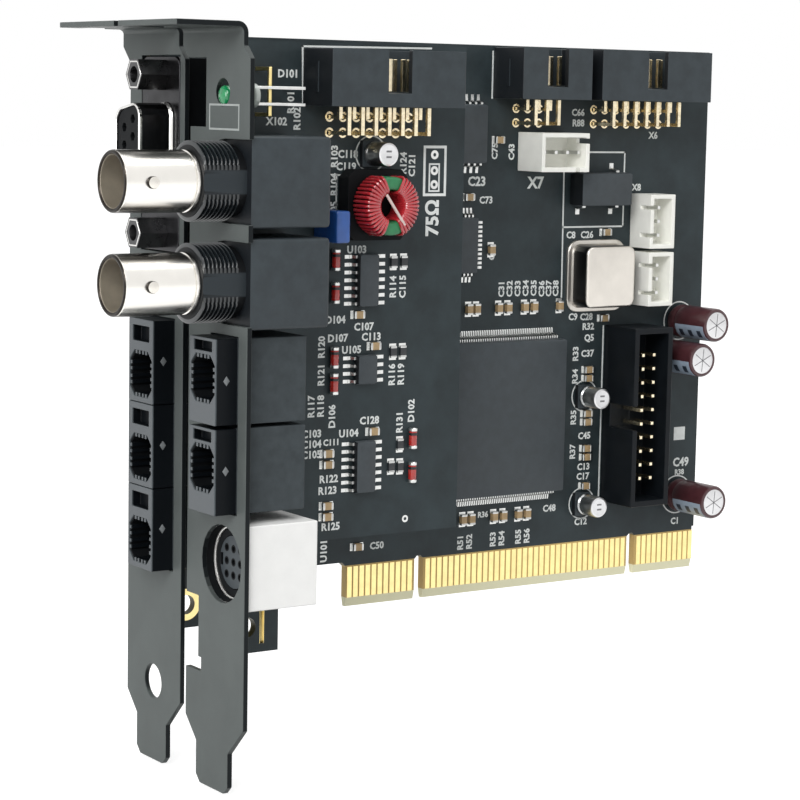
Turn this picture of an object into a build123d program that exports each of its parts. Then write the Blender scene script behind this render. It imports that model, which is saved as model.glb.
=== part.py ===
from build123d import *
import os
from math import cos, radians, tan

os.makedirs("parts", exist_ok=True)

# Lengths are in millimetres. X runs along the boards from the brackets' outer face, Y runs from the
# component side to the solder side, and Z runs up from the bottom of the card-edge tongue.
# On a board, "along" is X, "up" is Z and "tall" is the height above the component side.

# Small round parts and holes are cut as many-sided bars
round_sides = 24
hole_sides = 6
first_cut_share = 0.7
second_cut_share = 0.25

# Both boards
board_thickness = 1.57
slot_pitch = 20.32
board_gap = 0.6
foot_end = 14.65
foot_hole_diameter = 3.3
foot_hole_along = 8.8
foot_hole_up = 3.55

# Main board and its card-edge tongue
main_top = 98.0
main_foot_bottom = -0.4
shoulder_up = 7.9
tongue_start = 40.55
first_key_offset = 15.25
key_spacing = 48.26
tongue_tail = 15.0
main_overhang = 0.45
key_width = 1.9
key_depth = 7.8
key_corner_cut = 0.6
tongue_corner_cut = 0.9
bevel_height = 1.6
bevel_depth = 0.4
contact_pitch = 1.27
contact_width = 0.95
contact_top = 7.05
contact_thickness = 0.05
contact_count_before_key = 11
contact_count_between_keys = 36
contact_count_after_keys = 11

# Expansion board
expansion_top = 97.0
expansion_end = 49.45
expansion_bottom = 16.6
expansion_foot_bottom = -0.7
foot_slot_along = 11.6
foot_slot_width = 0.8
foot_slot_bottom = 0.7
foot_slot_length = 6.0

# Slot brackets of folded steel, edges measured from the board's component side
sheet = 0.86
bracket_top = 99.5
bracket_height = 120.02
bend_radius = 0.85
component_edge = 14.3
bracket_clearance = 1.9
head_component_edge = 12.3
head_clearance = 1.32
head_drop = 3.6
blade_component_edge = 9.6
blade_solder_edge = 0.6
blade_length = 6.67
blade_corner_cut = 1.2
tab_reach = 11.43
screw_notch_width = 4.42
screw_notch_reach = 5.7
screw_notch_depth = 3.5
bracket_hole_diameter = 5.7
bracket_hole_tall = 5.0
bracket_hole_rise = 6.45
window_clearance = 0.2

# Notches in the solder-side edge of the expansion bracket
upper_notch_drop = 5.4
upper_notch_length = 10.6
upper_notch_depth = 4.9
lower_notch_top = 9.7
lower_notch_bottom = -2.4
lower_notch_depth = 3.9
lower_notch_step_depth = 4.9
lower_notch_step_top = -0.2

# Nine-way D connector
d_drop = 20.6
d_tall = 6.3
d_flange_length = 30.8
d_flange_width = 12.5
d_flange_thickness = 0.8
d_flange_radius = 1.5
d_shell_length = 16.9
d_shell_width = 8.3
d_shell_radius = 2.4
d_shell_wall = 0.5
d_shell_reach = 5.9
d_slant = 10
d_core_clearance = 0.05
d_core_recess = 0.2
d_contact_pitch = 2.77
d_row_spacing = 2.84
d_contact_hole = 1.5
d_contact_depth = 4.5
d_housing_depth = 9.0
d_housing_length = 30.4
jackscrew_spacing = 24.99
jackscrew_across_flats = 4.75
jackscrew_length = 4.8
jackscrew_bore = 2.6
jackscrew_bore_depth = 4.0

# Square optical sockets, the same housing height on both boards
optical_tall = 11.4
optical_snout_width = 8.2
optical_depth = 11.5
optical_reach = 3.8
optical_opening = 7.4
optical_opening_corner = 1.5
optical_opening_depth = 7.0
optical_lens_diameter = 2.2
optical_lens_length = 2.5
optical_window_width = 5.6
optical_window_depth = 1.6
receiver_height = 13.4
receiver_spacing = 0.1
receiver_base_up = 12.25
receiver_opening_offset = -2.1
receiver_window_offset = 4.4
receiver_window_height = 2.5
sender_height = 13.3
sender_spacing = 0.6
sender_gap = 1.7
sender_opening_offset = 0.35
sender_window_offset = 5.4
sender_window_height = 1.6

# Bayonet coaxial sockets
coax_tall = 7.0
coax_gap = 1.35
coax_spacing = 1.6
coax_body_height = 13.9
coax_body_tall = 13.6
coax_body_depth = 14.2
coax_body_chamfer = 0.4
collar_diameter = 12.3
collar_reach = 6.6
collar_flat_width = 10.8
collar_slot_clearance = 0.25
barrel_diameter = 9.5
barrel_bore = 8.1
barrel_reach = 19.4
barrel_floor = 9.0
lug_diameter = 1.9
lug_span = 11.1
lug_reach = 15.0
dielectric_diameter = 4.8
dielectric_reach = 15.0
centre_contact_diameter = 1.3
centre_contact_reach = 14.2
centre_contact_depth = 4.0
centre_contact_clearance = 0.05

# Round mini connector
round_tall = 7.0
round_up = 16.0
round_body_height = 13.4
round_body_tall = 13.4
round_body_depth = 12.8
round_ring_diameter = 11.9
round_ring_wall = 0.5
round_ring_recess = 2.0
round_seat_depth = 5.0
round_insert_diameter = 8.4
round_insert_recess = 2.2
round_hole_diameter = 1.1
round_hole_pitch = 2.1
round_hole_depth = 3.0
round_key_width = 2.0
round_key_depth = 0.9
round_clearance = 0.05
round_panel_clearance = 0.2

# Indicator lamp, its legs and the wire strap
lamp_tall = 6.05
lamp_gap = 6.05
lamp_hole_rise = 0.45
lamp_hole_diameter = 4.2
lamp_diameter = 3.0
lamp_rim_diameter = 3.8
lamp_rim_length = 0.9
lamp_recess = 0.35
lamp_nose = 0.7
lamp_back = 5.7
leg_thickness = 0.5
leg_spacing = 2.54
leg_end = 14.7
strap_along = 9.4
strap_gap = 2.85
strap_length = 7.7
strap_tall = 4.4
strap_thickness = 0.6

# Box headers with two rows of square pins
pin_pitch = 2.54
pin_thickness = 0.64
shroud_margin = 10.16
shroud_width = 8.9
shroud_height = 9.0
shroud_wall = 1.1
shroud_floor = 2.4
key_slot_width = 4.4
key_slot_depth = 6.8
pin_top = 7.6
pin_bend = 1.7
expansion_header_column_count = 7
expansion_header_along = 30.6
expansion_header_drop = 10.0
short_header_column_count = 3
header_gap = 2.28
long_header_column_count = 7
long_header_inset = 19.55
main_header_drop = 9.3
upright_header_column_count = 10
upright_header_inset = 18.6
upright_header_up = 31.0

# Ivory sockets with one row of pins
socket_wall = 0.8
socket_margin = 0.44
socket_floor = 1.6
socket_slot = 0.7
socket_slot_depth = 3.0
socket_pin_recess = 1.2
four_way_gap = 1.15
four_way_drop = 1.3
four_way_width = 6.9
four_way_tall = 7.3
four_way_notch = 0.9
four_way_notch_drop = 1.4
four_way_notch_inset = 2.5
three_way_offset = 3.6
three_way_gap = 3.7
three_way_spacing = 0.7
three_way_width = 5.8
three_way_tall = 6.0
three_way_margin = 2.3

# Oscillator can
oscillator_gap = 1.4
oscillator_rise = 2.65
oscillator_flange = 13.2
oscillator_flange_thickness = 0.6
oscillator_flange_radius = 2.4
oscillator_width = 11.2
oscillator_tall = 5.1
oscillator_radius = 1.9
oscillator_top_cut = 0.35

# Flat-pack and small outline chips
chip_chamfer = 0.25
lead_root_share = 0.45
array_gap = 9.55
array_up = 31.7
array_width = 28.0
array_tall = 3.4
array_standoff = 0.25
array_lead_count = 26
array_lead_pitch = 1.0
array_lead_width = 0.45
array_lead_reach = 1.6
array_lead_thickness = 0.2
clock_offset = 9.9
clock_gap = 7.2
clock_width = 10.0
clock_tall = 1.4
clock_standoff = 0.1
clock_lead_count = 11
clock_lead_pitch = 0.8
clock_lead_width = 0.35
clock_lead_reach = 1.2
clock_lead_thickness = 0.15
memory_gap = 2.55
memory_drop = 15.55
memory_length = 20.5
memory_width = 10.4
memory_tall = 2.4
memory_lead_count = 16
small_chip_offset = 0.4
small_chip_width = 3.9
small_chip_tall = 1.6
small_chip_standoff = 0.15
small_lead_pitch = 1.27
small_lead_width = 0.45
small_lead_reach = 1.05
small_lead_thickness = 0.2
small_chip_end_margin = 1.05
upper_chip_gap = 2.25
upper_chip_column_count = 7
middle_chip_gap = 7.85
middle_chip_column_count = 4
lower_chip_gap = 9.25
lower_chip_column_count = 7
transformer_gap = 2.75
transformer_rise = 5.2
transformer_length = 11.7
transformer_width = 6.1
transformer_tall = 4.0
transformer_lead_spacing = 7.62
transformer_lead_width = 0.7

# Capacitors, diodes and other small parts
radial_diameter = 6.3
radial_tall = 11.0
upper_radial_inset = 5.4
upper_radial_up = 47.7
middle_radial_inset = 8.5
middle_radial_up = 41.3
lower_radial_inset = 4.6
lower_radial_up = 14.4
can_diameter = 3.9
can_tall = 5.4
can_base_width = 4.3
can_base_tall = 0.9
can_base_corner = 1.0
main_can_inset = 4.4
upper_can_rise = 2.8
lower_can_drop = 17.3
expansion_can_gap = 0.85
expansion_can_offset = 0.4
chip_part_length = 2.0
chip_part_width = 1.25
chip_part_tall = 0.9
chip_column_inset = 3.95
chip_column_gap = 0.5
chip_pair_pitch = 1.6
middle_pair_drop = 10.6
above_array_gap = 4.1
below_array_gap = 2.6
clock_part_gap = 2.3
clock_part_drop = 0.9
memory_part_gap = 2.8
memory_part_drop = 1.05
chip_part_gap = 1.3
film_gap = 2.0
film_offset = 3.25
film_width = 2.6
film_length = 5.1
film_tall = 7.0
film_corner = 0.5
diode_diameter = 1.6
diode_length = 3.5
diode_sides = 8
upper_diode_rise = 0.75
upper_diode_pitch = 5.3
middle_diode_rise = 0.05
middle_diode_pitch = 4.3
lower_diode_rise = 1.25
lower_diode_pitch = 5.7
left_diode_offset = 6.0
right_diode_offset = 9.6
resistor_offset = 6.8
resistor_pitch = 1.8
upper_resistor_rise = 1.6
lower_resistor_drop = 7.0
choke_gap = 0.3
choke_base_width = 11.4
choke_base_tall = 3.0
choke_base_corner = 1.2
core_diameter = 9.4
core_bore = 5.2
core_tall = 4.0
wire_thickness = 0.4
turn_count = 9
turn_angle = 15.0
winding_clearance = 0.06

# Values that follow from the sizes above
board_start = sheet + board_gap
first_key = tongue_start + first_key_offset
second_key = first_key + key_spacing
tongue_end = second_key + tongue_tail
main_end = tongue_end + main_overhang
bracket_bottom = bracket_top - bracket_height
head_bottom = bracket_top - head_drop
solder_edge = slot_pitch - component_edge - bracket_clearance
head_solder_edge = slot_pitch - head_component_edge - head_clearance
blade_top = bracket_bottom + blade_length
bracket_hole_up = blade_top + bracket_hole_rise
upper_notch_top = bracket_top - upper_notch_drop
upper_notch_bottom = upper_notch_top - upper_notch_length
d_up = bracket_top - d_drop

# Stacks of sockets at the brackets, each placed from the one below
receiver_pitch = receiver_height + receiver_spacing
receiver_up = receiver_base_up + receiver_height / 2 + 2 * receiver_pitch
sender_pitch = sender_height + sender_spacing
sender_up = round_up + round_body_height / 2 + sender_gap + sender_height / 2 + sender_pitch
coax_pitch = coax_body_height + coax_spacing
coax_up = sender_up + sender_height / 2 + coax_gap + coax_body_height / 2 + coax_pitch
coax_top = coax_up + coax_body_height / 2
lamp_up = coax_top + lamp_gap
lamp_hole_up = lamp_up + lamp_hole_rise
strap_bottom = coax_top + strap_gap
strap_top = strap_bottom + strap_length

# Main board, placed from its far end and its top edge
long_header_length = (long_header_column_count - 1) * pin_pitch + shroud_margin
short_header_length = (short_header_column_count - 1) * pin_pitch + shroud_margin
upright_header_length = (upright_header_column_count - 1) * pin_pitch + shroud_margin
long_header_along = main_end - long_header_inset
short_header_along = long_header_along - long_header_length / 2 - header_gap - short_header_length / 2
main_header_bottom = main_top - main_header_drop
main_tails_bottom = main_header_bottom - pin_bend - pin_pitch - pin_thickness / 2
memory_along = short_header_along - short_header_length / 2 - memory_gap - memory_length / 2
memory_up = main_top - memory_drop
memory_bottom = memory_up - memory_width / 2 - small_lead_reach
upright_header_along = main_end - upright_header_inset
upright_header_left = upright_header_along - shroud_width / 2
upright_header_top = upright_header_up + upright_header_length / 2
array_half_span = array_width / 2 + array_lead_reach
array_along = upright_header_left - array_gap - array_half_span
clock_half_span = clock_width / 2 + clock_lead_reach
clock_along = array_along - clock_offset
clock_up = memory_bottom - clock_gap - clock_half_span
three_way_length = 3 * pin_pitch + three_way_margin
three_way_pitch = three_way_length + three_way_spacing
three_way_along = upright_header_along + three_way_offset
three_way_left = three_way_along - three_way_width / 2
three_way_up = upright_header_top + three_way_gap + three_way_length / 2 + three_way_pitch
oscillator_along = three_way_left - oscillator_gap - oscillator_flange / 2
oscillator_up = upright_header_top + oscillator_rise + oscillator_flange / 2
oscillator_top = oscillator_up + oscillator_flange / 2
transformer_along = three_way_left - transformer_gap - transformer_length / 2
transformer_up = oscillator_top + transformer_rise + small_lead_reach + transformer_width / 2
four_way_length = 4 * pin_pitch + socket_margin
four_way_along = transformer_along - transformer_length / 2 - four_way_gap - four_way_length / 2
four_way_up = main_tails_bottom - four_way_drop - four_way_width / 2

# Expansion board, placed down from its header
expansion_header_bottom = expansion_top - expansion_header_drop
expansion_tails_bottom = expansion_header_bottom - pin_bend - pin_pitch - pin_thickness / 2
expansion_can_up = expansion_tails_bottom - expansion_can_gap - can_base_width / 2
choke_along = expansion_header_along
choke_up = expansion_can_up - can_base_width / 2 - choke_gap - choke_base_width / 2
film_along = choke_along - choke_base_width / 2 - film_gap - film_width / 2
film_up = choke_up - film_offset
small_chip_along = choke_along - small_chip_offset
upper_chip_length = (upper_chip_column_count - 1) * small_lead_pitch + small_chip_end_margin
middle_chip_length = (middle_chip_column_count - 1) * small_lead_pitch + small_chip_end_margin
lower_chip_length = (lower_chip_column_count - 1) * small_lead_pitch + small_chip_end_margin
upper_chip_up = choke_up - choke_base_width / 2 - upper_chip_gap - upper_chip_length / 2
upper_chip_bottom = upper_chip_up - upper_chip_length / 2
middle_chip_top = upper_chip_bottom - middle_chip_gap
middle_chip_up = middle_chip_top - middle_chip_length / 2
lower_chip_top = middle_chip_top - middle_chip_length - lower_chip_gap
lower_chip_up = lower_chip_top - lower_chip_length / 2

# Frames: a board face has "along", "up" and "tall" as its axes, a panel has "tall", "up" and "outward"
main_face = Plane.XZ
expansion_face = Plane.XZ.offset(slot_pitch)
main_panel = Plane(origin=(0, 0, 0), x_dir=(0, -1, 0), z_dir=(-1, 0, 0))
expansion_panel = Plane(origin=(0, -slot_pitch, 0), x_dir=(0, -1, 0), z_dir=(-1, 0, 0))


def block(x_range, y_range, z_range):
    """A box between two limits on each axis."""
    size = [high - low for low, high in (x_range, y_range, z_range)]
    return Pos(x_range[0], y_range[0], z_range[0]) * Box(*size, align=(Align.MIN, Align.MIN, Align.MIN))


def around(centre, size):
    """The two limits of a size centred on a place."""
    return centre - size / 2, centre + size / 2


def rod(x, y, diameter, z_range):
    """A round bar along the frame's third axis."""
    place = Pos(x, y, z_range[0])
    height = z_range[1] - z_range[0]
    return place * Cylinder(diameter / 2, height, align=(Align.CENTER, Align.CENTER, Align.MIN))


def bar(x, y, diameter, z_range, sides):
    """A many-sided bar that stands for a small round one."""
    outline = RegularPolygon(diameter / 2, round(sides))
    return Pos(x, y, z_range[0]) * extrude(outline, amount=z_range[1] - z_range[0])


def polygon(points):
    """A flat face with straight sides."""
    return make_face(Polyline(*points, close=True))


def slab(face, z_range):
    """A flat face given depth between two limits of the third axis."""
    return Pos(0, 0, z_range[0]) * extrude(face, amount=z_range[1] - z_range[0])


def round_corner(face, x, y, radius):
    """The face with the corner nearest a place rounded."""
    corner = face.vertices().sort_by_distance((x, y, 0))[0]
    return fillet(corner, radius)


def cut_corner(face, x, y, length):
    """The face with the corner nearest a place cut off."""
    corner = face.vertices().sort_by_distance((x, y, 0))[0]
    return chamfer(corner, length)


def ease_corners(face, radius):
    """The face with all its corners eased by two cuts each, close to a radius."""
    eased = chamfer(face.vertices(), first_cut_share * radius)
    return chamfer(eased.vertices(), second_cut_share * radius)


def save(name, *pieces):
    """Write one piece, or a group of like pieces, under its own name."""
    solids = [solid for piece in pieces for solid in piece.solids()]
    shape = solids[0] if len(solids) == 1 else Compound(solids)
    export_step(shape, f"parts/{name}.step")


# Main board: a glass-fibre sheet with a bevelled, twice-keyed tongue and a foot beside the bracket
def board_hole():
    """The mounting hole in a board's foot."""
    return rod(foot_hole_along, foot_hole_up, foot_hole_diameter, (-2 * board_thickness, board_thickness))


def tongue_key(along):
    """A key notch cut up from the bottom of the tongue, its top corners eased."""
    notch = Rectangle(key_width, 2 * key_depth)
    notch = chamfer(notch.vertices().group_by(Axis.Y)[-1], key_corner_cut)
    return slab(Pos(along, 0) * notch, (-2 * board_thickness, board_thickness))


def tongue_bevel(depth_from, depth_to):
    """The wedge taken off one bottom edge of the tongue."""
    wedge = polygon([(depth_from, bevel_height), (depth_from, 0), (depth_to, 0)])
    side = Plane(origin=(tongue_start, 0, 0), x_dir=(0, 0, 1), z_dir=(-1, 0, 0))
    return extrude(side * wedge, amount=tongue_start - tongue_end)


main_outline = polygon([
    (board_start, main_top),
    (main_end, main_top),
    (main_end, shoulder_up),
    (tongue_end, shoulder_up),
    (tongue_end, 0),
    (tongue_start, 0),
    (tongue_start, shoulder_up),
    (foot_end, shoulder_up),
    (foot_end, main_foot_bottom),
    (board_start, main_foot_bottom),
])
main_outline = cut_corner(main_outline, tongue_start, shoulder_up, tongue_corner_cut)
main_outline = cut_corner(main_outline, foot_end, shoulder_up, tongue_corner_cut)
main_board = slab(main_outline, (-board_thickness, 0))
main_board -= board_hole()
main_board -= tongue_key(first_key)
main_board -= tongue_key(second_key)
main_board -= tongue_bevel(0, -bevel_depth)
main_board -= tongue_bevel(-board_thickness, bevel_depth - board_thickness)
save("main_board", main_face * main_board)

# Edge contacts: gold-plated fingers on the component side, with two places left out at each key
before = range(contact_count_before_key)
between = range(contact_count_before_key + 2, contact_count_before_key + 2 + contact_count_between_keys)
after_start = contact_count_before_key + contact_count_between_keys + 4
after = range(after_start, after_start + contact_count_after_keys)
contacts = []
for place in [*before, *between, *after]:
    contact_along = first_key + (place - contact_count_before_key - 0.5) * contact_pitch
    across = around(contact_along, contact_width)
    contacts.append(main_face * block(across, (bevel_height, contact_top), (0, contact_thickness)))
save("edge_contacts", *contacts)

# Expansion board: a smaller sheet with a long foot, a mounting hole and a narrow slot
expansion_outline = polygon([
    (board_start, expansion_top),
    (expansion_end, expansion_top),
    (expansion_end, expansion_bottom),
    (foot_end, expansion_bottom),
    (foot_end, expansion_foot_bottom),
    (board_start, expansion_foot_bottom),
])
expansion_outline = cut_corner(expansion_outline, foot_end, expansion_bottom, tongue_corner_cut)
expansion_board = slab(expansion_outline, (-board_thickness, 0))
expansion_board -= board_hole()
slot_up = (foot_slot_bottom, foot_slot_bottom + foot_slot_length)
slot_through = (-2 * board_thickness, board_thickness)
expansion_board -= block(around(foot_slot_along, foot_slot_width), slot_up, slot_through)
save("expansion_board", expansion_face * expansion_board)


# Slot brackets: one strip of steel, folded outward at the top and cut to the slot's outline
def folded_strip():
    """The strip before its outline is cut: an upright with a tab folded over at the top."""
    underside = bracket_top - sheet
    profile = polygon([
        (-sheet, bracket_bottom),
        (-sheet, bracket_top),
        (tab_reach, bracket_top),
        (tab_reach, underside),
        (0, underside),
        (0, bracket_bottom),
    ])
    profile = round_corner(profile, -sheet, bracket_top, bend_radius + sheet)
    profile = round_corner(profile, 0, underside, bend_radius)
    side = Plane(origin=(component_edge, 0, 0), x_dir=(0, 0, 1), z_dir=(-1, 0, 0))
    return extrude(side * profile, amount=component_edge + head_solder_edge)


def bracket_outline():
    """The bracket seen from outside the computer, with 45 degree steps at head and blade."""
    head_component_step = component_edge - head_component_edge
    head_solder_step = head_solder_edge - solder_edge
    blade_component_step = component_edge - blade_component_edge
    blade_solder_step = solder_edge - blade_solder_edge
    face = polygon([
        (-head_solder_edge, bracket_top),
        (head_component_edge, bracket_top),
        (head_component_edge, head_bottom),
        (component_edge, head_bottom - head_component_step),
        (component_edge, blade_top + blade_component_step),
        (blade_component_edge, blade_top),
        (blade_component_edge, bracket_bottom),
        (-blade_solder_edge, bracket_bottom),
        (-blade_solder_edge, blade_top),
        (-solder_edge, blade_top + blade_solder_step),
        (-solder_edge, head_bottom - head_solder_step),
        (-head_solder_edge, head_bottom),
    ])
    face = cut_corner(face, blade_component_edge, bracket_bottom, blade_corner_cut)
    return cut_corner(face, -blade_solder_edge, bracket_bottom, blade_corner_cut)


def screw_notch():
    """The round-ended notch in the tab for the chassis screw, open to the solder side."""
    radius = screw_notch_width / 2
    centre = screw_notch_depth - head_solder_edge
    outward = around(screw_notch_reach, screw_notch_width)
    height = (bracket_top - 2 * sheet, bracket_top + sheet)
    notch = block((-head_solder_edge - radius, centre), height, outward)
    upright = Plane(origin=(centre, height[0], screw_notch_reach), x_dir=(1, 0, 0), z_dir=(0, 1, 0))
    return notch + upright * rod(0, 0, screw_notch_width, (0, height[1] - height[0]))


def blank_bracket():
    """A bracket with its outline and screw notch, before windows are punched."""
    through = slab(bracket_outline(), (-2 * sheet, tab_reach + sheet))
    return (folded_strip() & through) - screw_notch()


def window(tall_range, up_range):
    """A rectangular punch."""
    return block(tall_range, up_range, (-2 * sheet, sheet))


optical_axis = optical_tall - optical_snout_width / 2
optical_window = around(optical_axis, optical_snout_width + 2 * window_clearance)
receiver_top = receiver_up + receiver_height / 2 + window_clearance
receiver_bottom = receiver_up - 2 * receiver_pitch - receiver_height / 2 - window_clearance
d_window_width = d_flange_width + 2 * window_clearance
d_window_length = d_flange_length + 2 * window_clearance
main_bracket = blank_bracket()
main_bracket -= window(around(d_tall, d_window_width), around(d_up, d_window_length))
main_bracket -= window(optical_window, (receiver_bottom, receiver_top))
main_bracket -= rod(bracket_hole_tall, bracket_hole_up, bracket_hole_diameter, (-2 * sheet, sheet))
save("main_bracket", main_panel * main_bracket)

collar_slot = collar_diameter + 2 * collar_slot_clearance
coax_places = [coax_up, coax_up - coax_pitch]
sender_top = sender_up + sender_height / 2 + window_clearance
sender_bottom = sender_up - sender_pitch - sender_height / 2 - window_clearance
round_hole = round_ring_diameter + 2 * round_panel_clearance
expansion_bracket = blank_bracket()
for up in coax_places:
    expansion_bracket -= bar(coax_tall, up, collar_slot, (-2 * sheet, sheet), round_sides)
    expansion_bracket -= window((coax_tall, component_edge + sheet), around(up, collar_slot))
expansion_bracket -= window(optical_window, (sender_bottom, sender_top))
expansion_bracket -= bar(round_tall, round_up, round_hole, (-2 * sheet, sheet), round_sides)
expansion_bracket -= bar(lamp_tall, lamp_hole_up, lamp_hole_diameter, (-2 * sheet, sheet), round_sides)
notch_edge = -solder_edge - sheet
upper_notch = (notch_edge, upper_notch_depth - solder_edge)
lower_notch = (notch_edge, lower_notch_depth - solder_edge)
lower_notch_step = (notch_edge, lower_notch_step_depth - solder_edge)
expansion_bracket -= window(upper_notch, (upper_notch_bottom, upper_notch_top))
expansion_bracket -= window(lower_notch, (lower_notch_bottom, lower_notch_top))
expansion_bracket -= window(lower_notch_step, (lower_notch_bottom, lower_notch_step_top))
save("expansion_bracket", expansion_panel * expansion_bracket)


# Nine-way D connector: a pressed shell with a flange, filled by a moulded insulator on the board
def d_face(length, width, radius):
    """The connector's D outline, its long side away from the board."""
    long_half = length / 2
    short_half = long_half - width * tan(radians(d_slant))
    face = polygon([
        (-width / 2, -short_half),
        (-width / 2, short_half),
        (width / 2, long_half),
        (width / 2, -long_half),
    ])
    return Pos(d_tall, d_up) * ease_corners(face, radius)


jackscrew_ups = [d_up - jackscrew_spacing / 2, d_up + jackscrew_spacing / 2]
flange_face = Pos(d_tall, d_up) * ease_corners(Rectangle(d_flange_width, d_flange_length), d_flange_radius)
bore_length = d_shell_length - 2 * d_shell_wall
bore_width = d_shell_width - 2 * d_shell_wall
bore_radius = d_shell_radius - d_shell_wall
d_shell = slab(flange_face, (-d_flange_thickness, 0))
d_shell += slab(d_face(d_shell_length, d_shell_width, d_shell_radius), (0, d_shell_reach))
d_shell -= slab(d_face(bore_length, bore_width, bore_radius), (-2 * d_flange_thickness, 2 * d_shell_reach))
save("d_connector_shell", main_panel * d_shell)

core_length = bore_length - 2 * d_core_clearance
core_width = bore_width - 2 * d_core_clearance
core_radius = bore_radius - d_core_clearance
core_front = d_shell_reach - d_core_recess
housing_back = -d_flange_thickness - d_housing_depth
housing_tall = (0, d_tall + d_flange_width / 2)
d_core = block(housing_tall, around(d_up, d_housing_length), (housing_back, -d_flange_thickness))
d_core += slab(d_face(core_length, core_width, core_radius), (-d_flange_thickness, core_front))
for row, row_contacts in ((-0.5, 4), (0.5, 5)):
    for place in range(row_contacts):
        up = d_up + (place - (row_contacts - 1) / 2) * d_contact_pitch
        tall = d_tall + row * d_row_spacing
        contact_bore = (core_front - d_contact_depth, core_front + d_core_recess)
        d_core -= bar(tall, up, d_contact_hole, contact_bore, hole_sides)
save("d_connector_insulator", main_panel * d_core)

jackscrews = []
for up in jackscrew_ups:
    hexagon = Pos(d_tall, up) * RegularPolygon(jackscrew_across_flats / 2, 6, major_radius=False)
    jackscrew = slab(hexagon, (0, jackscrew_length))
    bore = (jackscrew_length - jackscrew_bore_depth, 2 * jackscrew_length)
    jackscrew -= rod(d_tall, up, jackscrew_bore, bore)
    jackscrews.append(main_panel * jackscrew)
save("jackscrews", *jackscrews)


# Optical sockets: moulded housings on the board, with a snout that stands out through the bracket
def optical_socket(up, height, opening_offset, window_offset, window_height):
    """One housing with its eight-sided opening, the lens inside it and a shallow latch window."""
    snout = around(optical_axis, optical_snout_width)
    housing = block((0, optical_tall), around(up, height), (-sheet - optical_depth, -sheet))
    housing += block(snout, around(up, height), (-sheet, optical_reach))
    opening = Rectangle(optical_opening, optical_opening)
    opening = chamfer(opening.vertices(), optical_opening_corner)
    opening_place = Pos(optical_axis, up + opening_offset)
    opening_floor = optical_reach - optical_opening_depth
    housing -= slab(opening_place * opening, (opening_floor, 2 * optical_reach))
    lens = (opening_floor, opening_floor + optical_lens_length)
    housing += opening_place * bar(0, 0, optical_lens_diameter, lens, hole_sides)
    latch_up = around(up + window_offset, window_height)
    latch_depth = (optical_reach - optical_window_depth, 2 * optical_reach)
    return housing - block(around(optical_axis, optical_window_width), latch_up, latch_depth)


for place, name in enumerate(["upper", "middle", "lower"]):
    up = receiver_up - place * receiver_pitch
    offsets = (receiver_opening_offset, receiver_window_offset, receiver_window_height)
    socket = optical_socket(up, receiver_height, *offsets)
    save(f"main_optical_socket_{name}", main_panel * socket)
for place, name in enumerate(["upper", "lower"]):
    up = sender_up - place * sender_pitch
    offsets = (sender_opening_offset, sender_window_offset, sender_window_height)
    socket = optical_socket(up, sender_height, *offsets)
    save(f"expansion_optical_socket_{name}", expansion_panel * socket)


# Coaxial sockets: a moulded body with a flatted collar holds a plated bayonet barrel
def coax_body():
    """The block on the board and the collar that passes out through the bracket."""
    base = block((0, coax_body_tall), around(0, coax_body_height), (-sheet - coax_body_depth, -sheet))
    base = chamfer(base.edges().group_by(Axis.Z)[0], coax_body_chamfer)
    collar = bar(coax_tall, 0, collar_diameter, (-sheet, collar_reach), round_sides)
    collar &= block(around(coax_tall, collar_flat_width), around(0, collar_diameter), (-sheet, collar_reach))
    return base + collar


def coax_barrel():
    """A turned barrel seated on the collar, bored from its mouth, with a lug on each side."""
    barrel = rod(coax_tall, 0, barrel_diameter, (collar_reach, barrel_reach))
    barrel -= bar(coax_tall, 0, barrel_bore, (barrel_floor, 2 * barrel_reach), round_sides)
    wall_middle = (barrel_diameter + barrel_bore) / 4
    for side in (-1, 1):
        root = (coax_tall + side * wall_middle, 0, lug_reach)
        outward = Plane(origin=root, x_dir=(0, 1, 0), z_dir=(side, 0, 0))
        barrel += outward * bar(0, 0, lug_diameter, (0, lug_span / 2 - wall_middle), hole_sides)
    return barrel


coax_insulators = []
coax_contacts = []
contact_hole = centre_contact_diameter + 2 * centre_contact_clearance
contact_seat = centre_contact_reach - centre_contact_depth
for up, name in zip(coax_places, ["upper", "lower"]):
    place = expansion_panel * Pos(0, up, 0)
    save(f"coax_body_{name}", place * coax_body())
    save(f"coax_barrel_{name}", place * coax_barrel())
    insulator = bar(coax_tall, 0, dielectric_diameter, (barrel_floor, dielectric_reach), round_sides)
    insulator -= bar(coax_tall, 0, contact_hole, (contact_seat, 2 * dielectric_reach), hole_sides)
    coax_insulators.append(place * insulator)
    pin = bar(coax_tall, 0, centre_contact_diameter, (contact_seat, centre_contact_reach), hole_sides)
    coax_contacts.append(place * pin)
save("coax_insulators", *coax_insulators)
save("coax_centre_contacts", *coax_contacts)

# Round mini connector: a pale moulded body with a metal ring and a keyed insert of nine holes
round_floor = -sheet - round_seat_depth
round_body_base = -sheet - round_body_depth
round_place = expansion_panel * Pos(0, round_up, 0)
seat = round_ring_diameter + 2 * round_clearance
round_body = block((0, round_body_tall), around(0, round_body_height), (round_body_base, -sheet))
round_body -= bar(round_tall, 0, seat, (round_floor, 0), round_sides)
save("round_connector_body", round_place * round_body)
ring_bore = round_ring_diameter - 2 * round_ring_wall
round_ring = bar(round_tall, 0, round_ring_diameter, (round_floor, -round_ring_recess), round_sides)
round_ring -= bar(round_tall, 0, ring_bore, (2 * round_floor, 0), round_sides)
save("round_connector_ring", round_place * round_ring)
insert_front = -round_insert_recess
round_insert = bar(round_tall, 0, round_insert_diameter, (round_floor, insert_front), round_sides)
key_edge = around(round_tall - round_insert_diameter / 2, 2 * round_key_depth)
round_insert -= block(key_edge, around(0, round_key_width), (2 * round_floor, 0))
hole_depth = (insert_front - round_hole_depth, 0)
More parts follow.
